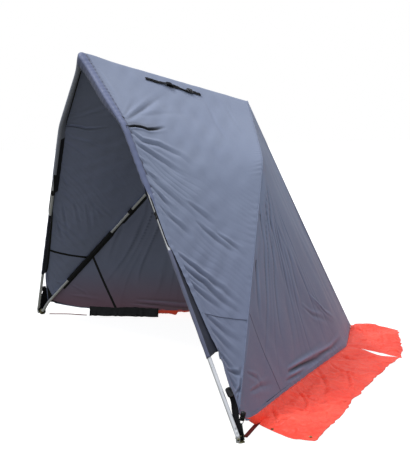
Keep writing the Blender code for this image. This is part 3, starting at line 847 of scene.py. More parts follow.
def bracket_metal():
    """Passivated steel with an olive tinge, rubbed bright and dusty in patches."""
    finish = Finish("bracket steel", colour("6f6a48"), 0.38, 0.85)
    patch = finish.noise(finish.place(), 60.0, 5.0, 0.65)
    dust = finish.noise(finish.place(), 14.0, 3.0, 0.5)
    highlight_and_wear = finish.ranged(patch, 0.42, 0.62)
    finish.feed("Base Color", finish.mix(highlight_and_wear, (*colour("5c5836"), 1.0), (*colour("b9b48c"), 1.0)))
    finish.feed("Roughness", finish.ranged(dust, 0.3, 0.7, 0.25, 0.6))
    finish.bump(patch, 0.0001)
    return finish.material


# Plain cloths: a name, two screen colours, a roughness and a sheen.
CLOTHS = {
    "canopy_inside": ("canopy lining", "a2aacb", "9ca4c5", 0.70, 0.05),
    "black": ("black lining cloth", "0c0d12", "07080c", 0.62, 0.05),
    "sleeve": ("dark grey sleeve cloth", "686c84", "5c6078", 0.60, 0.15),
    # The navy is painted shade on the front sleeves, in the recess behind the leg.
    "navy": ("navy web cloth", "24283a", "181b2a", 0.58, 0.15),
    "thread": ("seam thread", "5a6076", "4e546a", 0.70, 0.1),
    # The next three stand for one hem: the first a darker copy of the canopy's cloth, painted shade on the
    # rounded hem; the second darker still, painted shade on the hem's inner half; the third paler, painted
    # light on the left arm, which lies in shade.
    "hem": ("hem cloth", "6c7597", "687193", 0.62, 0.2),
    "hem_fold": ("dark hem fold", "565c76", "525872", 0.62, 0.1),
    "hem_inside": ("inside of the hem", "a4a8b6", "9ea2b0", 0.70, 0.05),
}


def make_finishes():
    """Every finish by its short name. The big cloths are darker near the ground, painted shade, and the
    wall's lining is redder there, painted red light from the flaps. The flaps glow with painted light.
    """
    # The first colour is the canopy's darker tint near the ground: painted shade.
    slope, lit, dull = colour("8089a5", 0.90), colour("949fb9", 0.895), colour("909bb6", 0.895)
    wall = (colour("8f9cba"), colour("8a97b5"))
    lining = (colour("8a8fa8"), colour("848aa3"))
    red = (colour("ff5540"), colour("ee3620"))
    coral = coated_cloth("coral flap cloth", *red, 0.55, 0.05, 0.0020, creased=1.4)
    finishes = {
        "canopy": coated_cloth("grey blue cloth", lit, dull, 0.62, 0.2, low=(slope, 0.30, 1.05)),
        # The wall's darker tint near the ground is painted shade, and the lining's reddish one painted red
        # light from the flaps.
        "wall": coated_cloth("slate wall cloth", *wall, 0.64, 0.2, low=(colour("767e99"), 0.10, 1.05)),
        "wall_inside": coated_cloth("wall lining", *lining, 0.70, 0.05, low=(colour("946f80"), 0.0, 0.34)),
        "flap": with_painted_glow(coral),
        "webbing": webbing("black webbing", colour("07070b"), colour("16161e")),
        # The ground strap's dark red is painted red light from the flap.
        "ground_webbing": webbing("dark red webbing", colour("5e1a18"), colour("7a2c24")),
        "elastic": webbing("grey green elastic", colour("4a5048"), colour("6c7468")),
        "aluminium": aluminium(),
        "plastic": moulded_plastic("black plastic", colour("0c0c0e")),
        "bracket": bracket_metal(),
    }
    for key, (name, lit, dull, roughness, sheen) in CLOTHS.items():
        finishes[key] = coated_cloth(name, colour(lit), colour(dull), roughness, sheen)
    return finishes


# Each point's share of the angle between the two hoops, and the body a piece rides on.


def swing(piece, mean=False):
    """Bakes a piece's transform and works out each point's share of the angle between the hoops, which is not
    used.

    The hoops meet at the feet, so the share follows the angle about the hinge line. With mean, the whole
    piece takes one share, and keeps its shape.
    """
    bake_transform(piece)
    points = np.empty(len(piece.data.vertices) * 3)
    piece.data.vertices.foreach_get("co", points)
    points = points.reshape(-1, 3) - HINGE
    angle = np.arctan2(points[:, 1], points[:, 2])
    share = np.clip((REAR_LEAN - angle) / (REAR_LEAN - FRONT_LEAN), 0.0, 1.0)
    if mean:
        share = np.full(len(share), share.mean())
    return piece


def dress(piece, body=None, stands_for=()):
    """Says which body a piece rides on, and hides the nodes it stands for."""
    if body:
        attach(piece, body)
    if stands_for:
        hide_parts(*stands_for)
    return piece


# Cloth pieces.

ROOF_ROWS, GORE_ROWS, CANOPY_COLS = 110, 252, 132
WALL_ROWS, WALL_COLS = 100, 390


def make_canopy(side, sign, finishes):
    """One half of the canopy, from the ridge over the knee line to the lower hem."""
    down = np.concatenate([-(np.linspace(1, 0, ROOF_ROWS) ** 1.5), np.linspace(0, 1, GORE_ROWS)[1:] ** 1.08])
    back = np.linspace(0, 1, CANOPY_COLS)
    back, down = np.meshgrid(0.8 * back + 0.2 * back**2, down)
    points, normals = canopy_skin(back, down, sign)
    flip = mirrored(sign)
    # Painted shade in the cloth's hollows and painted highlight on its ridges.
    fold = hollows(points * flip, canopy_base(back, down), normals * flip, 0.014)
    # Painted shade on the strip behind the front hem and on the roof's front, where the rounded hem shades
    # the cloth.
    band = smooth((HEM_BAND - back) / 0.004) * (0.30 - 0.14 * smooth(down / 0.2)) * (down < POCKET_END)
    band += 0.07 * np.exp(-back / 0.10) * smooth(-down / 0.1 + 0.5)
    # Painted shadow in the pleat's groove, under the cloth that hangs over it, strong on the right side.
    pleat = -fold_line(points * flip, normals * flip, PLEAT_CURVE, 0.0165, 1.0, lip=0.0)
    fold = np.clip(fold + band + (2.4 if sign > 0 else 0.1) * np.clip(pleat, 0, None), -1, 1)
    faces = grid(*back.shape, turned=sign > 0)
    uv = np.stack([back * 0.9, down * 1.2], axis=-1)
    inks = [finishes["canopy"], finishes["canopy_inside"]]
    piece = make_piece(f"canopy_cloth_{side}", points, faces, inks, uv)
    add_fold_shade(piece, fold)
    thicken(piece, CLOTH, inner=1)
    dress(piece, stands_for=[f"canopy_{side}"])
    swing(piece)
    flat = canopy_base(back, down)
    area_of(flat)
    return piece


def make_wall(side, sign, finishes):
    """Side and back wall of one half, from the rear hoop down to the ground."""
    rise = np.linspace(0, 1, WALL_ROWS)
    along, up = np.meshgrid(np.linspace(0, 1, WALL_COLS), 0.6 * rise + 0.4 * rise**2)
    points, normals = wall_skin(along, up, sign)
    flip = mirrored(sign)
    # Painted shade in the wall's hollows and painted highlight on its ridges.
    fold = hollows(points * flip, wall_base(along, up), normals * flip, 0.009)
    points[..., 2] = np.maximum(points[..., 2], 0.0005)
    faces = grid(*along.shape, turned=sign < 0)
    uv = np.stack([along * 1.8, up * 1.3], axis=-1)
    piece = make_piece(f"wall_cloth_{side}", points, faces, [finishes["wall"], finishes["wall_inside"]], uv)
    add_fold_shade(piece, fold)
    thicken(piece, CLOTH, inner=1)
    dress(piece, "rear_frame", [f"side_wall_{side}", f"back_wall_{side}"])
    flat = wall_base(along, up)
    area_of(flat)
    return piece


def strip(name, skin, first, second, sign, width, lift, thickness, finish):
    """A flat band sewn on a cloth: its centre line follows the cloth's face along two lists of shares."""
    points, normals = skin(first, second, sign)
    return make_bar(name, points + normals * lift, normals, lozenge(width, thickness, 0.3, 12), [finish])


def hoop_path(down, poles):
    """Points on the right half of a hoop's centre line, by the canopy's share, with a rounded knee."""
    apex, knee, foot = poles
    low = knee + (foot - knee) * (SLEEVE_TO if poles is POLE_FRONT else 0.954)
    return bent(down, np.full(np.shape(down), BEND_AT_HOOP), 1.0, 1.0, apex, knee, low)


def pocket_frames(path, reach_back):
    """Vectors backwards along the cloth and outwards from it, square to the path."""
    run = unit(np.gradient(path, axis=0))
    back = unit(reach_back - run * (run * reach_back).sum(-1, keepdims=True))
    return back, np.cross(run, back)


def hoop_loop(poles, low, count):
    """A hoop's centre line from low on the left leg over the rounded apex to low on the right leg."""
    place = np.linspace(-1, 1, count)
    down = np.abs(place) * (low + 1) - 1
    path = hoop_path(down, poles)
    path[:, 0] *= np.sign(place)
    path[:, 2] -= ridge_drop(path[:, 0], APEX_ROUND)
    if poles is POLE_FRONT:
        path += apex_push(path[:, 0], np.zeros(count))
    return path, down


def welded(piece):
    """Joins points that lie on each other."""
    mesh = bmesh.new()
    mesh.from_mesh(piece.data)
    bmesh.ops.remove_doubles(mesh, verts=mesh.verts, dist=1e-6)
    mesh.to_mesh(piece.data)
    mesh.free()
    return piece


def make_front_pocket(finishes):
    """The hem that wraps the front hoop from leg to leg, with black cloth on its inner side.

    Its section is a nose round the pole with two flanges that meet behind it. At both ends the nose opens
    at the front and draws back on both sides, so that the pole comes out of it gradually.
    """
    path, down = hoop_loop(POLE_FRONT, POCKET_END, 421)
    back_run = canopy_base(1.0, down) - canopy_base(0.0, down)
    back_run = back_run * np.where(path[:, :1] < 0, MIRROR, 1)
    back, out = pocket_frames(path, back_run)
    drawn = smooth((down - 0.25) / (POCKET_END - 0.25))[:, None]
    reach = np.linspace(0, 1, 9)[None, :] * (1 - 0.96 * drawn)
    turn = np.concatenate([1 + reach, 3 - reach[:, ::-1]], axis=1) * (math.pi / 2)
    loose = (smooth(-down / 0.45) * smooth((path[:, 0] + 0.01) / 0.03))[:, None]
    ahead = 0.0138 + 0.007 * loose
    below = np.where(turn > math.pi, 0.0140 + 0.028 * loose, 0.0140)
    nose = np.stack([np.cos(turn) * ahead, np.sin(turn) * below + 0.0004], axis=-1)
    flange = np.linspace(0, 1, 6)[None, :]
    outer = np.stack([0.0065 - 0.0035 * flange, 0.0131 + 0.0012 * flange], axis=-1)
    outer = np.broadcast_to(outer, (len(path), 6, 2))
    tucked = 0.0080 + 0.0125 * (1 + down) - 0.029
    left_reach = 0.029 + tucked * smooth((0.1 - down) / 0.2)
    reach = np.where(path[:, 0] < 0, left_reach, 0.018)[:, None] + 0.007 * loose
    start = -0.0126 - 0.028 * loose
    inner = np.stack([0.0040 + (reach - 0.0040) * flange, start + (0.0092 - start) * flange], axis=-1)
    sunk = 0.0034 * smooth((down - 0.31) / 0.09)[:, None, None]
    outer = outer - sunk * np.array((0.0, 1.0))
    section = np.concatenate([outer, nose, inner], axis=1)
    wobble = 0.0005 * np.sin(np.arange(len(path)) * 0.8 + 1.7 * np.sin(np.arange(len(path)) * 0.13))
    section = section + wobble[:, None, None] * np.array((0.4, 1.0))
    section = section * (1 + 0.22 * np.exp(-((path[:, 0] / 0.05) ** 2)))[:, None, None]
    points = carried(path, back, out, section)
    cols = section.shape[1]
    column = np.tile(np.arange(cols), len(path) - 1)
    at = down[np.repeat(np.arange(len(path) - 1), cols)]
    on_leg = (column >= 24) & (at > 0.07) | (column >= 18) & (at > 0.29)
    black = (column < cols - 1) & on_leg
    on_left = np.repeat(path[:-1, 0] < 0, cols)
    # Painted light: the left arm, seen in shade from inside, takes the paler copy of the hem.
    left_painted_light = on_left & (column >= 4) & (at > -0.93)
    # On the right, the nose's inner half takes the darker copy: painted shade.
    ink = np.where(black, 2, np.where(left_painted_light, 3, np.where(column >= 15, 1, 0)))
    wraps = column != 14
    faces = grid(len(path), cols, closed=True)[wraps]
    uv = stacked(np.linspace(0, 0.11, cols)[None, :], np.linspace(0, 2, len(path))[:, None])
    inks = [finishes[name] for name in ("hem", "hem_fold", "black", "hem_inside")]
    piece = welded(make_piece("front_pocket", points, faces, inks, uv, ink[wraps]))
    thicken(piece, 0.0009)
    dress(piece, "front_hoop")
    return piece


def make_rear_pocket(finishes):
    """Black cloth tube that holds the rear hoop's poles to the crease."""
    path, _ = hoop_loop(POLE_REAR, 0.24, 241)
    lift = np.array((0.0, math.cos(REAR_LEAN), -math.sin(REAR_LEAN)))
    sides, lifts = frames_along(path, lift)
    swell = 0.0102 + 0.0003 * np.sin(np.arange(len(path)) * 0.7)
    section = rounds(swell, 28)
    points = carried(path, sides, lifts, section)
    uv = stacked(np.linspace(0, 0.07, 28)[None, :], np.linspace(0, 2, 241)[:, None])
    piece = make_piece("rear_pocket", points, grid(241, 28, closed=True), [finishes["black"]], uv)
    thicken(piece, 0.0009)
    dress(piece, "rear_frame")
    return piece


def make_front_sleeve(side, sign, finishes):
    """Cloth round the front leg with a web back to the canopy's hem, gathered into folds lengthways."""
    count = 90
    share = np.linspace(SLEEVE_FROM, SLEEVE_TO, count)
    _, knee, foot = POLE_FRONT
    path = knee + (foot - knee) * share[:, None]
    run = unit(np.gradient(path, axis=0))
    hem = canopy_base(0.0, share / SLEEVE_TO)
    if sign < 0:
        hem = hem - BACKWARD * LEFT_HEM_LESS * hem_swing(share / SLEEVE_TO)
    back, out = pocket_frames(path, np.broadcast_to(BACKWARD, path.shape))
    tail = np.maximum(((hem - path) * back).sum(-1) + 0.005, 0.0135)
    tail_out = ((hem - path) * out).sum(-1) - 0.0034
    radius = 0.0098 + 0.0004 * np.sin(share * 90)
    turn = np.linspace(math.radians(60), math.radians(300), 24)
    nose = np.stack([np.cos(turn), np.sin(turn)], axis=-1)[None] * radius[:, None, None]
    steps = np.linspace(0, 1, 13)[None, :, None]
    tip = np.stack([tail, tail_out], axis=-1)[:, None]
    below = nose[:, -1:] + (tip - nose[:, -1:]) * steps[:, 1:]
    above = tip + (nose[:, :1] - tip) * steps[:, 1:-1]
    section = np.concatenate([nose, below, above], axis=1)
    fade = np.clip((share - SLEEVE_FROM) / (SLEEVE_TO - SLEEVE_FROM), 0, 1)[:, None]
    reach = np.clip((section[..., 0] - 0.010) / 0.024, 0, 1)
    gather = np.sin(section[..., 0] * 900 + 1.5 * np.sin(share[:, None] * 14))
    section[..., 1] += 0.0022 * gather * fade * np.sin(math.pi * np.clip(reach, 0, 1))
    points = carried(path, back, out, section)
    points -= run[:, None] * (0.016 * fade**4 * np.clip(section[..., 0] / 0.035, 0, 1))[..., None]
    cols = section.shape[1]
    faces = grid(count, cols, closed=True)
    column = np.tile(np.arange(cols), count - 1)
    # Painted shade: the tube's inner side and the web take the navy, for the recess behind the leg.
    dark = (column >= 15) | (column < 3)
    uv = stacked(np.linspace(0, 0.1, cols)[None, :], share[:, None] * 1.37)
    points = points * mirrored(sign)
    faces = faces if sign > 0 else faces[:, ::-1]
    inks = [finishes["sleeve"], finishes["navy"]]
    piece = make_piece(f"front_sleeve_cloth_{side}", points, faces, inks, uv, dark)
    thicken(piece, 0.0008)
    dress(piece, "front_hoop", [f"front_sleeve_{side}"])
    return piece


def make_rear_sleeve(side, sign, finishes):
    """Black cloth round the rear leg: a tube whose radius swells in slow and quick sine waves."""
    count, cols = 70, 28
    share = np.linspace(*REAR_SLEEVE, count)
    _, knee, foot = POLE_REAR
    path = (knee + (foot - knee) * share[:, None]) * mirrored(sign)
    sides, lifts = frames_along(path, np.array((0.0, 1.0, 0.0)))
    turn = turns(cols)[None, :]
    swell = 0.0104 + 0.0004 * np.sin(3 * turn + share[:, None] * 40) + 0.0004 * np.sin(share[:, None] * 160)
    section = rounds(np.ones(1), cols) * swell[..., None]
    points = carried(path, sides, lifts, section)
    uv = stacked(turn * 0.011, share[:, None] * 1.37)
    faces = grid(count, cols, closed=True)
    piece = make_piece(f"rear_sleeve_cloth_{side}", points, faces, [finishes["black"]], uv)
    thicken(piece, 0.0008)
    dress(piece, "rear_frame", [f"rear_sleeve_{side}"])
    return piece


def wall_normal(down):
    """The wall's outward normal at the crease: the back's above the knee, the side's below, by an S-curve."""
    back_face = unit(np.cross(TIP - CORNER_BEHIND, REAR_APEX - REAR_KNEE))
    back_face = back_face * np.sign(back_face[1])
    share = smooth((down + 0.10) / 0.20)[:, None]
    side_face = WALL_PLANE[1] * np.sign(WALL_PLANE[1][0])
    return unit(back_face * (1 - share) + side_face * share)


SEAM_TAPE = (0.014, -(CLOTH + 0.0006), 0.0012)
EDGE_TAPE = (0.024, -(CLOTH + 0.0006), 0.0012)
HEM_TAPE = (0.024, -(CLOTH + 0.0022), 0.0012)
ROOF_TAPE = (0.013, -(CLOTH + 0.0006), 0.0012)


def make_seams(side, sign, finishes):
    """Tape inside and stitched seams outside, on the gore, the wall and the crease between them.

    Each is a strip with its width, its lift off the cloth and its thickness.
    """

    def sew(name, skin, first, second, size, finish, body=None):
        band = strip(f"{name}_{side}", skin, first, second, sign, *size, finishes[finish])
        dress(band, body)
        if body is None:
            swing(band)

    share = np.linspace(0.0, 1.0, 120)[:, None]
    start, end = canopy_base(0.012, SEAM_FRONT), canopy_base(0.985, SEAM_REAR)
    back, down = shares_at(canopy_base, start + (end - start) * share, 0.5, 0.75)
    sew("gore_seam_tape", canopy_skin, back, down, SEAM_TAPE, "black")
    sew("gore_seam", canopy_skin, back, down, (0.003, 0.0009, 0.0010), "thread")
    up = np.linspace(0.004, 0.985, 120)
    along = (WALL_SEAM_BASE + (WALL_SEAM_TOP - WALL_SEAM_BASE) * up) * WALL_SHARE
    sew("wall_seam_tape", wall_skin, along, up, SEAM_TAPE, "black", "rear_frame")
    sew("wall_seam", wall_skin, along, up, (0.004, 0.0002, 0.0012), "thread", "rear_frame")
    along = np.linspace(0.08, 0.995, 200)
    height = np.linalg.norm(wall_base(along, 1.0) - wall_base(along, 0.0), axis=-1)
    up = 1 - 0.017 / height
    sew("crease_tape", wall_skin, along, up, EDGE_TAPE, "black", "rear_frame")
    down = np.linspace(POCKET_END - 0.09, 0.998, 150)
    size = (0.022, 0.0002, 0.0014)
    sew("front_hem", canopy_skin, 0.0135 + 0.004 * down, down, size, "canopy")
    down = np.linspace(0.29, 0.998 if sign < 0 else HEM_OPENS + 0.03, 120)
    sew("hem_tape", canopy_skin, 0.009 + 0.001 * down, down, HEM_TAPE, "black")
    down = np.linspace(-0.78, -0.04, 120)
    sew("roof_tape", canopy_skin, 0.0305 + 0.018 * down, down, ROOF_TAPE, "black")
    down = np.linspace(-0.985, -0.04, 180)
    size = (0.0016, 0.0002, 0.0008)
    sew("hem_stitch", canopy_skin, np.full(180, HEM_BAND), down, size, "hem")
    down = np.linspace(-0.995, 0.985, 260)
    line = canopy_base(1.0, down)
    outward = unit(normals_of(canopy_base, 0.999, down, -1) + wall_normal(down))
    line = (line + outward * 0.0002) * mirrored(sign)
    section = lozenge(0.007, 0.0022, 0.8, 12)
    cloth = [finishes["canopy"]]
    binding = make_bar(f"crease_binding_{side}", line, outward * mirrored(sign), section, cloth)
    dress(binding, "rear_frame")
    size = (0.020, 0.0002, 0.0014)
    back = np.linspace(0.01, 0.99, 60)
    sew("lower_hem", canopy_skin, back, np.full(60, 0.99), size, "canopy")
    along = np.linspace(0.02, 0.995, 160)
    size = (0.020, 0.0006, 0.0014)
    sew("wall_hem", wall_skin, along, np.full(160, 0.012), size, "wall", "rear_frame")


# Flaps on the ground. The outlines are pixels of the photograph, cast onto the ground.
FLAP_FRONT_EDGE = ((258, 424.5), (271, 431.5), (288, 438), (294, 440), (314.5, 441.4))
FLAP_OUTER_EDGE = (
    (314.5, 441.4), (323.4, 434), (333.7, 423), (346, 409.5), (353, 400.7), (362, 392.5),
    (375, 378.5), (383, 372.6), (390, 365), (401, 357.5),
)
FLAP_BACK_EDGE = ((362, 349.6), (371, 352.4), (380, 354.8), (390, 355.8), (401, 355.6))
FLAP_EYELETS = ((272.2, 431.0), (311.5, 438.6))
REAR_FLAP_FRONT_EDGE = ((362, 349.4), (380, 353.4), (390, 355.6), (401, 358.2))
REAR_FLAP_OUTER_EDGE = ((401, 358.2), (402, 349), (400.5, 341), (399, 336), (398, 330.6))
REAR_FLAP_BACK_EDGE = ((363, 325.4), (375, 326.2), (386, 328), (398, 330.6))
FLAP_FOLDS = (
    (((262, 418), (285, 412), (312, 414), (330, 406)), 0.014, 0.0090),
    (((268, 426), (290, 424), (306, 432), (318, 430)), 0.012, 0.0067),
    (((284, 402), (300, 398), (322, 404), (344, 398)), 0.014, 0.0083),
    (((296, 392), (306, 404), (300, 424)), 0.010, 0.0067),
    (((318, 374), (326, 388), (322, 408)), 0.012, 0.0075),
    (((330, 366), (344, 376), (362, 380), (374, 374)), 0.014, 0.0083),
    (((338, 358), (352, 362), (372, 360), (388, 364)), 0.014, 0.0075),
    (((346, 372), (350, 388), (344, 402)), 0.010, 0.0067),
    (((304, 384), (322, 380), (340, 384)), 0.012, 0.0067),
    (((272, 410), (276, 424), (288, 434)), 0.010, 0.0060),
)
REAR_FLAP_FOLDS = (
    (((356, 328), (368, 338), (390, 342)), 0.014, 0.0075),
    (((354, 340), (370, 344), (388, 352)), 0.012, 0.0067),
    (((372, 328), (382, 336), (384, 350)), 0.012, 0.0067),
)
GROUND = (np.zeros(3), np.array((0.0, 0.0, 1.0)))
FLAP_DROP = 0.33
TURNED_BACK = 0.21


def spaced(points, count):
    """A curve through points, at even steps of its length."""
    points = np.asarray(points, float)
    length = np.concatenate([[0.0], np.cumsum(np.linalg.norm(np.diff(points, axis=0), axis=1))])
    places = np.linspace(0, length[-1], count)
    return np.stack([np.interp(places, length, points[:, axis]) for axis in range(3)], axis=-1)


def patch_between(inner, outer, front, back):
    """A surface through four edges: both ruled surfaces added, less the one through the corners."""
    rows, cols = len(inner), len(front)
    along = np.linspace(0, 1, rows)[:, None, None]
    across = np.linspace(0, 1, cols)[None, :, None]
    ruled = inner[:, None] * (1 - across) + outer[:, None] * across
    crossed = front[None] * (1 - along) + back[None] * along
    corners = (front[0] * (1 - across) + front[-1] * across) * (1 - along)
    corners = corners + (back[0] * (1 - across) + back[-1] * across) * along
    return ruled + crossed - corners


def make_flap(name, ends, edges, sign, seed, stands_for, finishes, folds, first=0.0):
    """A flap sewn along the wall's ground line, which falls to the ground and lies there, creased.

    Its plan is a patch between four edges, its height the fall from the seam plus pressed-in folds,
    ridged ripples and swells. With first, the part before that share of the seam, which is turned back under
    it, is left out.
    """
    rows, cols = 300, 64
    start, end = ends
    front_edge, outer_edge, back_edge = edges
    inner = start + (end - start) * np.linspace(0, 1, rows)[:, None]
    if start[2] > 0.01:
        inner += base_sag(np.linspace(0, 1, rows))
        inner[:, 2] += left_rise(np.linspace(0, 1, rows)) * (sign < 0)
    front = spaced([start, *front_edge], cols)
    back = spaced([end, *back_edge], cols)
    flat = patch_between(inner, spaced(outer_edge, rows), front, back)
    kept = np.linspace(first, 1, rows)
    place = kept * (rows - 1)
    low = np.minimum(place.astype(int), rows - 2)
    part = (place - low)[:, None, None]
    flat = flat[low] * (1 - part) + flat[low + 1] * part
    inner = inner[low] * (1 - part[..., 0]) + inner[low + 1] * part[..., 0]
    points = flat.copy()
    across = np.linspace(0, 1, cols)[None, :]
    level = inner[:, 2:] * np.clip(1 - across / FLAP_DROP, 0, 1) ** 1.15
    x, y = flat[..., 0], flat[..., 1]
    rough = np.clip(1 - np.abs(ripples(x, y, seed, 7, 0.20)), 0, 1) ** 2
    swell = np.clip(ripples(x, y, seed + 1, 6, 0.34), 0, None)
    fine = np.clip(1 - np.abs(ripples(x, y, seed + 2, 9, 0.07)), 0, 1) ** 2
    rise = 0.007 * rough + 0.009 * swell + 0.0030 * fine + 0.006
    level_points = flat * np.array((1, 1, 0))
    upward = np.broadcast_to(GROUND[1], flat.shape)
    rise += folds_on(folds, GROUND, level_points, upward)
    along = kept[:, None]
    edge = 0.25 + 0.75 * smooth((1 - across) / 0.12)
    edge = edge * (0.25 + 0.75 * smooth(np.minimum(along, 1 - along) / 0.07))
    points[..., 2] = level + np.maximum(rise, 0) * smooth(across / 0.10) * edge + 0.0014
    ragged = 0.004 * np.sin(along * 31 + 1.9 * np.sin(along * 13))
    ragged = ragged + 0.0025 * np.sin(along * 83 + 2 * np.sin(along * 37))
    outward = unit((flat[:, -1:] - flat[:, :1]) * np.array((1, 1, 0)))
    points += outward * (ragged * smooth((across - 0.8) / 0.2))[..., None]
    # Painted shade in the flap's hollows and painted highlight on its ridges.
    fold = hollows(points, np.zeros(3), upward, 0.030)
    if start[2] > 0.01:
        for number, spot in enumerate(seen_on(FLAP_EYELETS, *GROUND)):
            gap = np.linalg.norm((points - spot)[..., :2], axis=-1)
            centre = points[np.unravel_index(np.argmin(gap), gap.shape)] + (0, 0, 0.0008)
            turn = turns(24)
            loop = centre + np.stack([np.cos(turn), np.sin(turn), 0 * turn], axis=-1) * 0.0045
            loop = loop * mirrored(sign)
            around = np.broadcast_to(upward[0, 0], loop.shape)
            eyelet = f"{name}_eyelet_{number}"
            ring = make_ring_band(eyelet, loop, around, 0.0026, 0.0034, finishes["bracket"])
            dress(ring, "rear_frame")
    points = points * mirrored(sign)
    uv = stacked(along * 1.2, across * 0.27)
    piece = make_piece(name, points, grid(rows, cols, turned=sign < 0), [finishes["flap"]], uv)
    add_fold_shade(piece, fold)
    thicken(piece, 0.0012)
    dress(piece, "rear_frame", stands_for)
    length = np.linalg.norm(inner[-1] - inner[0]) + 0.25
    area_of(flat)
    return piece


def make_flaps(finishes):
    """The four flaps. The left rear one has a tucked corner, and the left side one is partly turned back."""
    side_edges = [seen_on(edge, *GROUND) for edge in (FLAP_FRONT_EDGE, FLAP_OUTER_EDGE, FLAP_BACK_EDGE)]
    rear_edges = (REAR_FLAP_FRONT_EDGE, REAR_FLAP_OUTER_EDGE, REAR_FLAP_BACK_EDGE)
    rear_edges = [seen_on(edge, *GROUND) for edge in rear_edges]
    tucked_corner = np.array((0.216, 0.840, 0.0))
    tucked_edges = [rear_edges[0], np.stack([rear_edges[0][-1], tucked_corner]), tucked_corner[None]]
    out = unit(np.array((CORNER_BEHIND[1] - CORNER[1], CORNER[0] - CORNER_BEHIND[0], 0.0))) * 0.0035
    turned_corner = wall_base(WALL_SHARE, 0.0)
    side_ends = (CORNER + out * 0.5, turned_corner + out * 0.2)
    rear_ends = (turned_corner + out * 0.2, TIP + np.array((0.0, 0.0008, 0.0)))
    for side, sign in SIDES:
        make_flap(
            f"side_flap_cloth_{side}", side_ends, side_edges, sign, 51 + sign,
            [f"side_flap_{side}"], finishes, FLAP_FOLDS, 0.0 if sign > 0 else TURNED_BACK,
        )
        make_flap(
            f"rear_flap_cloth_{side}", rear_ends, rear_edges if sign > 0 else tucked_edges, sign, 71 + sign,
            [f"rear_flap_{side}"], finishes, REAR_FLAP_FOLDS,
        )


def make_shade_strip(side, sign, finishes):
    """A black sheet inside the wall's ground line, from its hem down to the ground, with a ragged edge:
    painted shade under the wall.
    """
    share = np.linspace(0.19, 0.50, 60)[:, None, None]
    down = np.linspace(0, 1, 8)[None, :, None]
    line = CORNER + (CORNER_BEHIND - CORNER) * share + base_sag(share[..., 0])
    line[..., 2] += left_rise(share[..., 0]) * (sign < 0)
    out = unit(np.array((CORNER_BEHIND[1] - CORNER[1], CORNER[0] - CORNER_BEHIND[0], 0.0)))
    top = line - out * 0.005 + np.array((0.0, 0.0, 0.014))
    ragged = 0.004 * np.sin(share * 150 + 2 * np.sin(share * 60))
    low = line * np.array((1, 1, 0)) - out * (0.016 + ragged) + np.array((0.0, 0.0, 0.0015))
    points = (top + (low - top) * down) * mirrored(sign)
    uv = stacked(share[..., 0] * 1.6, down[..., 0] * 0.08)
    piece = make_piece(f"shade_strip_{side}", points, grid(60, 8, turned=sign > 0), [finishes["black"]], uv)
    thicken(piece, 0.0010)
    return dress(piece, "rear_frame")


# Poles and fittings.


def make_pole(name, start, end, finish, body, stands_for, radius=POLE_RADIUS):
    """A round tube with rounded rims at both ends."""
    run = unit(end - start)
    length = np.linalg.norm(end - start)
    rim = 0.0008
    places = np.array((0.0, rim * 0.3, rim, length - rim, length - rim * 0.3, length))
    widths = np.array((radius - rim, radius - rim * 0.3, radius, radius, radius - rim * 0.3, radius - rim))
    path = start + run * places[:, None]
    section = rounds(widths)
    piece = make_bar(name, path, np.array((0.0, 1.0, 0.1)), section, [finish])
    harden(piece, 50)
    return dress(piece, body, stands_for)


def make_elbow(name, corner, arms, finish, body, stands_for, bent_over=0.030):
    """A bent fitting with rims at its two mouths, bent over a length on both sides of its corner."""
    arm = 0.055
    bend = np.linspace(0, 1, 17)[:, None]
    first, last = corner + arms[0] * bent_over, corner + arms[1] * bent_over
    arc = first * (1 - bend) ** 2 + 2 * corner * bend * (1 - bend) + last * bend**2
    mouths = np.array((arm, arm - 0.0006, arm - 0.007, arm - 0.0076, bent_over + 0.004))
    widths = np.array((0.0100, 0.0110, 0.0110, 0.0103, 0.0101))
    path = np.concatenate([corner + arms[0] * mouths[:, None], arc, corner + arms[1] * mouths[::-1, None]])
    widths = np.concatenate([widths, np.full(17, 0.0101), widths[::-1]])
    section = rounds(widths, 32)
    piece = make_bar(name, path, np.array((0.0, 1.0, 0.0)), section, [finish])
    harden(piece, 40)
    return dress(piece, body, stands_for)


def make_collar(name, centre, run, finish, body, stands_for):
    """The moulded collar where two pole sections meet: a waist between two rounded beads."""
    half = np.array((0.008, 0.009, 0.0140, 0.0155, 0.0165))
    beads = np.array((0.0098, 0.0107, 0.0107, 0.0103, 0.0088))
    places = np.concatenate([-half[::-1], [0.0], half])
    widths = np.concatenate([beads[::-1], [0.0095], beads])
    path = centre + run * places[:, None]
    section = rounds(widths, 36)
    piece = make_bar(name, path, np.array((0.0, 1.0, 0.1)), section, [finish])
    harden(piece, 40)
    return dress(piece, body, stands_for)


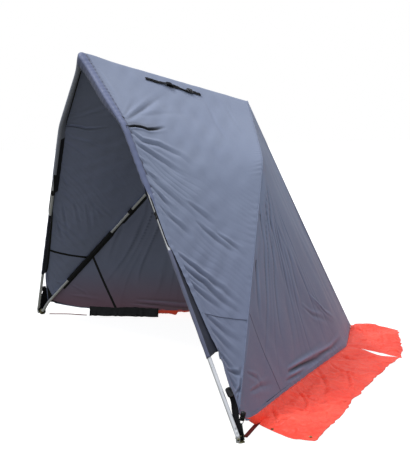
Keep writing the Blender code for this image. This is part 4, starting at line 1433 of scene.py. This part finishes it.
def make_front_lower_leg(side, sign, joint, foot, finish):
    """The front hoop's lower pole: round, then pressed flat into an upright eye with two dimples."""
    lean = np.array((0.0, math.sin(FRONT_LEAN), math.cos(FRONT_LEAN)))
    end = foot - lean * (FOOT_RISE + 0.0135)
    run = unit(foot - joint)
    length = np.linalg.norm(foot - joint)
    low_places = np.linspace(length - 0.045, length - 0.002, 26)
    places = np.concatenate([[0, 0.0006], np.linspace(0.02, length - 0.05, 12), low_places])
    bend = foot + np.outer(np.linspace(0, 1, 14)[1:], end - foot)
    path = np.concatenate([joint + run * places[:, None], bend])
    from_end = np.linalg.norm(path - end, axis=1)
    flat = smooth((0.062 - from_end) / 0.040)
    width = POLE_RADIUS + (0.0088 - POLE_RADIUS) * flat
    depth = POLE_RADIUS + (0.0044 - POLE_RADIUS) * flat
    tip = np.sqrt(np.clip(1 - np.clip(1 - from_end / 0.004, 0, 1) ** 2, 0.02, 1))
    turn = turns(48)[None, :]
    dimple = np.exp(-(((from_end - 0.030) / 0.0045) ** 2)) + np.exp(-(((from_end - 0.046) / 0.0045) ** 2))
    pressed = 1 - 0.45 * dimple[:, None] * np.exp(-((np.sin(turn) / 0.45) ** 2))
    wide = np.cos(turn) * depth[:, None] * pressed
    section = np.stack([wide, np.sin(turn) * (width * tip)[:, None]], axis=-1)
    path = path * mirrored(sign)
    piece = make_bar(f"front_lower_pole_{side}", path, np.array((0.0, 1.0, 0.05)), section, [finish])
    dress(piece, "front_hoop", [f"front_leg_lower_{side}"])
    return piece


def make_rear_lower_leg(side, sign, joint, end, finish):
    """The rear hoop's lower pole, straight to the cloth's corner and bent back a little below it."""
    share = np.concatenate([[0, 0.001], np.linspace(0.03, 0.88, 12), np.linspace(0.89, 0.999, 24), [1.0]])
    path = joint + (end - joint) * share[:, None]
    path[:, 1] += REAR_END_BEHIND * smooth((share - 0.885) / 0.13)
    widths = np.full(len(share), POLE_RADIUS)
    widths[[0, -1]] = POLE_RADIUS - 0.0008
    section = rounds(widths)
    flip = mirrored(sign)
    piece = make_bar(f"rear_lower_tube_{side}", path * flip, np.array((0.0, 1.0, 0.1)), section, [finish])
    return dress(harden(piece, 50), "rear_frame", [f"rear_leg_lower_{side}"])


def make_poles(finishes):
    """Both hoops, with the poles' ends seated in the fittings."""
    tube, plastic, slot = finishes["aluminium"], finishes["plastic"], "aluminium_tube"
    hoops = (
        ("front", "front_hoop", POLE_FRONT, FRONT_COLLAR_AT),
        ("rear", "rear_frame", POLE_REAR, REAR_COLLAR_AT),
    )
    for prefix, body, (apex, knee, foot), collar_at in hoops:
        roof_run, leg_run = unit(knee - apex), unit(foot - knee)
        seat = 0.0203
        arms = np.stack([roof_run * MIRROR, roof_run])
        make_elbow(f"{prefix}_apex_joint", apex, arms, plastic, body, [f"{prefix}_apex_fitting"], 0.016)
        joint = knee + leg_run * np.linalg.norm(foot - knee) * collar_at
        for side, sign in SIDES:
            flip = mirrored(sign)
            arms = np.stack([-roof_run, leg_run]) * flip
            stands = [f"{prefix}_knee_{side}"]
            make_elbow(f"{prefix}_knee_joint_{side}", knee * flip, arms, plastic, body, stands)
            start, end = (apex + roof_run * seat) * flip, (knee - roof_run * seat) * flip
            stands = [f"{prefix}_roof_pole_{side}"]
            make_pole(f"{prefix}_roof_tube_{side}", start, end, tube, body, stands)
            start, end = (knee + leg_run * seat) * flip, (joint - leg_run * 0.0003) * flip
            stands = [f"{prefix}_leg_upper_{side}"]
            make_pole(f"{prefix}_upper_tube_{side}", start, end, tube, body, stands)
            stands = [f"{prefix}_leg_collar_{side}"]
            make_collar(f"{prefix}_collar_{side}", joint * flip, leg_run * flip, plastic, body, stands)
            if prefix == "front":
                make_front_lower_leg(side, sign, joint, foot, tube)
            else:
                make_rear_lower_leg(side, sign, joint, foot + leg_run * 0.012, tube)


# Webbing and small fittings.

ROOF_RUN = unit(REAR_APEX - FRONT_APEX)
ROOF_SLOPE = unit(FRONT_KNEE - FRONT_APEX)
HANDLE_START = 0.300
HANDLE_LENGTH = 0.312
HANDLE_X = 0.058


def make_handle(finishes):
    """Carrying strap on the right roof slope, lifted in the middle, with a folded loop and a slide buckle."""
    normal = unit(np.cross(ROOF_SLOPE, ROOF_RUN))
    normal = normal if normal[2] > 0 else -normal
    share = np.linspace(0, 1, 90)
    back = (HANDLE_START + HANDLE_LENGTH * share) / np.linalg.norm(REAR_APEX - FRONT_APEX)
    down = np.full(90, -1 + HANDLE_X / ROOF_SLOPE[0] / np.linalg.norm(FRONT_KNEE - FRONT_APEX))
    line, _ = canopy_skin(back, down, 1)
    arch = np.sin(math.pi * np.clip((share - 0.10) / 0.62, 0, 1)) ** 2
    twist = 0.30 * np.sin(share * 16) * np.sin(math.pi * share)
    line = line + normal * (0.0026 + 0.004 * arch + 0.0010 * np.sin(share * 40) ** 2)[:, None]
    side = np.cross(ROOF_RUN, normal)
    lift = normal * np.cos(twist)[:, None] + side * np.sin(twist)[:, None]
    strap = make_bar("carrying_strap", line, lift, lozenge(0.020, 0.0026), [finishes["webbing"]])
    swing(dress(strap, stands_for=["carry_handle"]))
    turn = turns(40)[:, None]
    loop = line[37] + ROOF_RUN * (0.016 * np.cos(turn)) + normal * (0.0015 + 0.0050 * np.sin(turn))
    around = np.broadcast_to(side, loop.shape)
    ring = make_ring_band("strap_loop", loop, around, 0.023, 0.0022, finishes["webbing"])
    swing(dress(ring), mean=True)
    make_slide_buckle(line[71] + normal * 0.003, ROOF_RUN, side, normal, finishes)


def make_ring_band(name, loop, sides, width, thickness, finish):
    """A closed band: a flat section carried round a closed loop."""
    ahead, behind = np.roll(loop, -1, axis=0), np.roll(loop, 1, axis=0)
    run = unit(ahead - behind)
    lifts = np.cross(run, sides)
    section = lozenge(width, thickness, count=16)
    points = carried(loop, sides, lifts, section)
    points = np.concatenate([points, points[:1]])
    faces = grid(len(points), 16, closed=True) % (len(loop) * 16)
    return make_piece(name, points[:-1], faces, [finish])


def rounded_frame(width, length, corner, count=12):
    """A closed loop of (across, along) points round a rectangle with rounded corners."""
    turn = turns(4 * count) + math.pi / (4 * count)
    across = np.cos(turn) * corner + np.sign(np.cos(turn)) * (width / 2 - corner)
    along = np.sin(turn) * corner + np.sign(np.sin(turn)) * (length / 2 - corner)
    return np.stack([across, along], axis=-1)


def make_slide_buckle(centre, run, side, normal, finishes):
    """A ladder-lock frame with a middle bar, which the strap's end lies under."""
    outer = rounded_frame(0.031, 0.026, 0.005)
    loop = centre + side * outer[:, :1] + run * outer[:, 1:]
    around = np.broadcast_to(normal, loop.shape)
    rim = make_ring_band("strap_buckle", loop, around, 0.0060, 0.0050, finishes["plastic"])
    swing(dress(rim, stands_for=["handle_buckle"]), mean=True)
    line = centre + side * np.linspace(-0.013, 0.013, 9)[:, None] + normal * 0.0022
    bar = make_bar("strap_buckle_bar", line, normal, lozenge(0.007, 0.0055), [finishes["plastic"]])
    swing(dress(bar), mean=True)


TOWARDS_CAMERA = unit(np.array((0.88, -0.47, 0.0)))

# Places of small fittings, in the photograph's pixels.
FOOT_STRAP_LINE = ((229.3, 389.5), (232.6, 396), (235.0, 403), (236.6, 411), (237.8, 419))
FOOT_BUCKLE = ((229.0, 392.5),)
CORD_LOCK = ((242.8, 416.0), (241.6, 421.8))
GROUND_STRAP = ((245.0, 437.6), (258.5, 423.6))
HEM_STUD = ((122.9, 117.2),)


def make_foot_strap(side, sign, finishes):
    """Webbing from a buckle on the front hem past the cloth's corner to the bracket between the poles."""
    flip = mirrored(sign)
    point, normal = GORE_PLANE
    inward = normal if normal[0] < 0 else -normal
    hem = seen_on(FOOT_STRAP_LINE, point, normal)
    hem = hem + inward * np.array((0.002, 0.005, 0.007, 0.009, 0.012))[:, None]
    foot = HINGE + np.array(((HALF_WIDTH - 0.002, 0.015, 0.022), (HALF_WIDTH, 0.017, -0.012)))
    path = spaced(np.concatenate([hem, foot]), 44)
    path[1:-1] = (path[:-2] + path[1:-1] * 2 + path[2:]) / 4
    share = np.linspace(0, 1, 44)[:, None, None]
    section = lozenge(0.0195, 0.0026)[None] * (1 + np.array((0.28, 0.0)) * smooth((share - 0.2) / 0.2))
    if sign < 0:
        section = section * np.array((1.9, 1.0))
    strap = make_bar(f"foot_webbing_{side}", path * flip, TOWARDS_CAMERA, section, [finishes["webbing"]])
    swing(dress(strap, stands_for=[f"foot_strap_{side}"]))
    run = unit(hem[1] - hem[0])
    side_way = unit(np.cross(run, inward))
    centre = seen_on(FOOT_BUCKLE, point, normal)[0] - inward * 0.003
    outer = rounded_frame(0.018, 0.030, 0.005)
    loop = (centre + side_way * outer[:, :1] + run * outer[:, 1:]) * flip
    around = np.broadcast_to(inward * flip, loop.shape)
    rim = make_ring_band(f"foot_buckle_{side}", loop, around, 0.0085, 0.0075, finishes["plastic"])
    swing(dress(rim), mean=True)
    across = (centre + side_way * np.linspace(-0.009, 0.009, 9)[:, None]) * flip
    section = lozenge(0.024, 0.0050)
    tongue = make_bar(f"foot_buckle_tongue_{side}", across, inward * flip, section, [finishes["plastic"]])
    swing(dress(tongue), mean=True)
    make_cord_lock(side, sign, finishes)


def make_cord_lock(side, sign, finishes):
    """A barrel cord lock at the cloth's corner, a bright ring under it and an elastic band to the bracket."""
    flip = mirrored(sign)
    front = CORNER + np.array((0.014, -0.004, 0.0))
    centre, middle = seen_on(CORD_LOCK, front, TOWARDS_CAMERA)
    run = unit(centre - middle)
    places = np.array((-0.018, -0.0175, -0.015, -0.004, -0.003, 0.003, 0.004, 0.013, 0.016, 0.0175))
    widths = np.array((0.006, 0.0085, 0.0100, 0.0102, 0.0090, 0.0090, 0.0102, 0.0098, 0.0078, 0.0045))
    path = centre + run * places[:, None]
    section = rounds(widths, 28) * np.array((1.0, 0.8))
    barrel = make_bar(f"cord_lock_{side}", path * flip, TOWARDS_CAMERA * flip, section, [finishes["plastic"]])
    dress(harden(barrel, 40), "rear_frame")
    turn = turns(36)
    level = unit(np.cross(TOWARDS_CAMERA, run))
    ring = middle + np.outer(np.cos(turn), level * 0.0065) + np.outer(np.sin(turn), run * 0.0070)
    around = np.broadcast_to(TOWARDS_CAMERA, ring.shape)
    bright = finishes["aluminium"]
    hoop = make_ring_band(f"lock_ring_{side}", ring * flip, around * flip, 0.0028, 0.0028, bright)
    dress(hoop, "rear_frame")
    low = HINGE + np.array((HALF_WIDTH + 0.004, 0.030, -0.012))
    share = np.linspace(0, 1, 16)[:, None]
    start = middle - run * 0.006
    line = (start + (low - start) * share) * flip
    section = lozenge(0.007, 0.0018)
    band = make_bar(f"lock_band_{side}", line, TOWARDS_CAMERA * flip, section, [finishes["elastic"]])
    dress(band, "rear_frame")


def make_ground_strap(side, sign, finishes):
    """Webbing flat on the ground from the bracket to under the flap, dark red: painted red light from the
    flap on black webbing.
    """
    flip = mirrored(sign)
    start, ahead = seen_on(GROUND_STRAP, *GROUND)
    end = start + unit(ahead - start) * 0.24
    share = np.linspace(0, 1, 24)[:, None]
    upward = np.array((0, 0, 1.0))
    path = start + (end - start) * share + upward * (0.0018 + 0.0030 * np.sin(math.pi * share) ** 2)
    section = lozenge(0.018, 0.0020)
    strap = make_bar(f"ground_webbing_{side}", path * flip, upward, section, [finishes["ground_webbing"]])
    dress(strap, "rear_frame", [f"ground_strap_{side}"])


def make_bracket(side, sign, finishes):
    """A base plate with an upright ear between the two poles, and a headed pin through each pole's end."""
    flip = mirrored(sign)
    steel = finishes["bracket"]
    middle = np.array((HALF_WIDTH - 0.001, HINGE[1] + 0.019, 0.0))
    heights = np.array((0.0, 0.0006, 0.0030, 0.0036))
    loop = rounded_frame(0.030, 0.026, 0.007)
    section = loop[None] - np.sign(loop)[None] * np.array((0.0008, 0.0, 0.0, 0.0008))[:, None, None]
    path = (middle + np.outer(heights, (0, 0, 1.0))) * flip
    plate = make_bar(f"bracket_plate_{side}", path, np.array((0, 1.0, 0)), section, [steel])
    dress(harden(plate, 40), "rear_frame", [f"foot_bracket_{side}"])
    thick = np.array((-0.0012, -0.0008, 0.0008, 0.0012))
    tab = lozenge(0.036, 0.030, 0.55, 36)[None] * np.array((0.965, 1.0, 1.0, 0.965))[:, None, None]
    path = middle + np.array((-0.0035, 0.0, 0.0165)) + np.outer(thick, (1.0, 0, 0))
    ear = make_bar(f"bracket_ear_{side}", path * flip, np.array((0, 0, 1.0)), tab, [steel])
    dress(harden(ear, 40), "rear_frame")
    places = np.array((0.0, 0.0008, 0.0185, 0.0187, 0.0205, 0.0220))
    widths = np.array((0.0026, 0.0034, 0.0034, 0.0056, 0.0050, 0.0018))
    section = rounds(widths, 24)
    for name, start, run in (
        ("front", (HALF_WIDTH - 0.003, HINGE[1], 0.018), (1.0, 0, 0)),
        ("rear", (HALF_WIDTH + 0.003, HINGE[1] + 0.019, 0.022), (-1.0, 0, 0)),
    ):
        path = np.array(start) + np.outer(places, run)
        pin = make_bar(f"bracket_pin_{name}_{side}", path * flip, np.array((0, 0, 1.0)), section, [steel])
        dress(harden(pin, 40), "rear_frame")


def make_corner_patch(side, sign, finishes):
    """Black cloth that strengthens the corner where canopy, wall and flap meet, on the inner side."""
    back, down = np.meshgrid(np.linspace(0.45, 0.99, 24), np.linspace(0.0, 1.0, 10))
    down = 0.998 - 0.036 * ((back - 0.45) / 0.54) ** 0.8 * (1 - down)
    points, normals = canopy_skin(back, down, sign)
    points = points - normals * (CLOTH + 0.0004)
    uv = np.stack([back * 0.3, down], -1)
    piece = make_piece(f"corner_patch_{side}", points, grid(10, 24, turned=sign > 0), [finishes["black"]], uv)
    swing(dress(thicken(piece, 0.0010)))
    along, up = np.meshgrid(np.linspace(0.004, 0.046, 20), np.linspace(0.002, 1.0, 24))
    up = up * np.clip(1 - (along - 0.004) / 0.042, 0.0, 1.0) * 0.95 + 0.004
    points, normals = wall_skin(along, up, sign)
    points = points - normals * (CLOTH + 0.0004)
    uv = np.stack([along, up], -1)
    piece = make_piece(f"wall_patch_{side}", points, grid(24, 20, turned=sign < 0), [finishes["black"]], uv)
    dress(thicken(piece, 0.0010), "rear_frame")


def make_eyelet(side, sign, finishes):
    """A dark press stud on the front hem above the knee: a domed disc on a flat rim."""
    back, down = shares_at(canopy_base, seen_on(HEM_STUD, *ROOF_PLANE), 0.02, -0.08)
    points, normals = canopy_skin(back, down, sign)
    centre, normal = points[0], normals[0]
    heights = np.array((-0.001, 0.0022, 0.0026, 0.0026, 0.0040, 0.0044))
    widths = np.array((0.0062, 0.0062, 0.0056, 0.0040, 0.0032, 0.0008))
    path = centre + normal * heights[:, None]
    section = rounds(widths, 24)
    stud = make_bar(f"hem_stud_{side}", path, np.array((0.0, 0.0, 1.0)), section, [finishes["plastic"]])
    dress(harden(stud, 40), "front_hoop")


def make_stage():
    """A pale floor, a soft high sun from the front left and a sky that is bright above and dim below.

    Cloth and poles are lit by the sky's lower half in place of the floor, as by the ground outdoors.
    """
    mesh = bpy.data.meshes.new("floor")
    reach = 30.0
    corners = [(-reach, -reach, 0), (reach, -reach, 0), (reach, reach, 0), (-reach, reach, 0)]
    mesh.from_pydata(corners, [], [(0, 1, 2, 3)])
    floor = bpy.data.objects.new("floor", mesh)
    floor.location.z = -0.0005
    floor.visible_diffuse = False
    floor.visible_glossy = False
    pale = Finish("pale floor", (0.30, 0.30, 0.30), 0.9)
    pale.feed("Emission Color", (1.0, 1.0, 1.0, 1.0))
    pale.feed("Emission Strength", 0.92)
    mesh.materials.append(pale.material)
    bpy.context.scene.collection.objects.link(floor)
    world = bpy.data.worlds.new("sky")
    world.use_nodes = True
    nodes = Nodes(world.node_tree)
    direction = nodes.node("ShaderNodeTexCoord", out="Generated")
    height = nodes.node("ShaderNodeSeparateXYZ", {}, {"Vector": direction}, out="Z")
    stops = (
        (0.0, (0.15, 0.15, 0.12, 1.0)),
        (0.49, (0.22, 0.23, 0.20, 1.0)),
        (0.53, (0.42, 0.45, 0.48, 1.0)),
        (0.64, (0.85, 0.89, 0.96, 1.0)),
        (1.0, (1.0, 1.04, 1.12, 1.0)),
    )
    tint = nodes.node("ShaderNodeValToRGB", {"stops": stops}, {"Fac": height * 0.5 + 0.5}, out="Color")
    sky = nodes.node("ShaderNodeBackground", {}, {"Color": tint, "Strength": 0.72})
    white = nodes.node("ShaderNodeBackground", {}, {"Strength": 1.0, "Color": (1.0, 1.0, 1.0, 1.0)})
    seen = nodes.node("ShaderNodeLightPath", out="Is Camera Ray")
    mixed = nodes.node("ShaderNodeMixShader", {}, {0: seen, 1: sky, 2: white})
    nodes.put(world.node_tree.nodes["World Output"].inputs[0], mixed)
    bpy.context.scene.world = world
    sun = bpy.data.objects.new("sun", bpy.data.lights.new("sun", "SUN"))
    sun.data.energy = 2.2
    sun.data.angle = math.radians(24)
    sun.rotation_euler = Vector((-0.35, -0.30, 0.89)).to_track_quat("Z", "Y").to_euler()
    bpy.context.scene.collection.objects.link(sun)
    bpy.context.scene.view_settings.view_transform = "Standard"


def main():
    make_camera()
    finishes = make_finishes()
    make_front_pocket(finishes)
    make_rear_pocket(finishes)
    for side, sign in SIDES:
        make_canopy(side, sign, finishes)
        make_wall(side, sign, finishes)
        make_front_sleeve(side, sign, finishes)
        make_rear_sleeve(side, sign, finishes)
        make_seams(side, sign, finishes)
        make_corner_patch(side, sign, finishes)
        make_shade_strip(side, sign, finishes)
        make_eyelet(side, sign, finishes)
        make_foot_strap(side, sign, finishes)
        make_ground_strap(side, sign, finishes)
        make_bracket(side, sign, finishes)
    make_flaps(finishes)
    make_poles(finishes)
    make_handle(finishes)
    make_stage()


main()
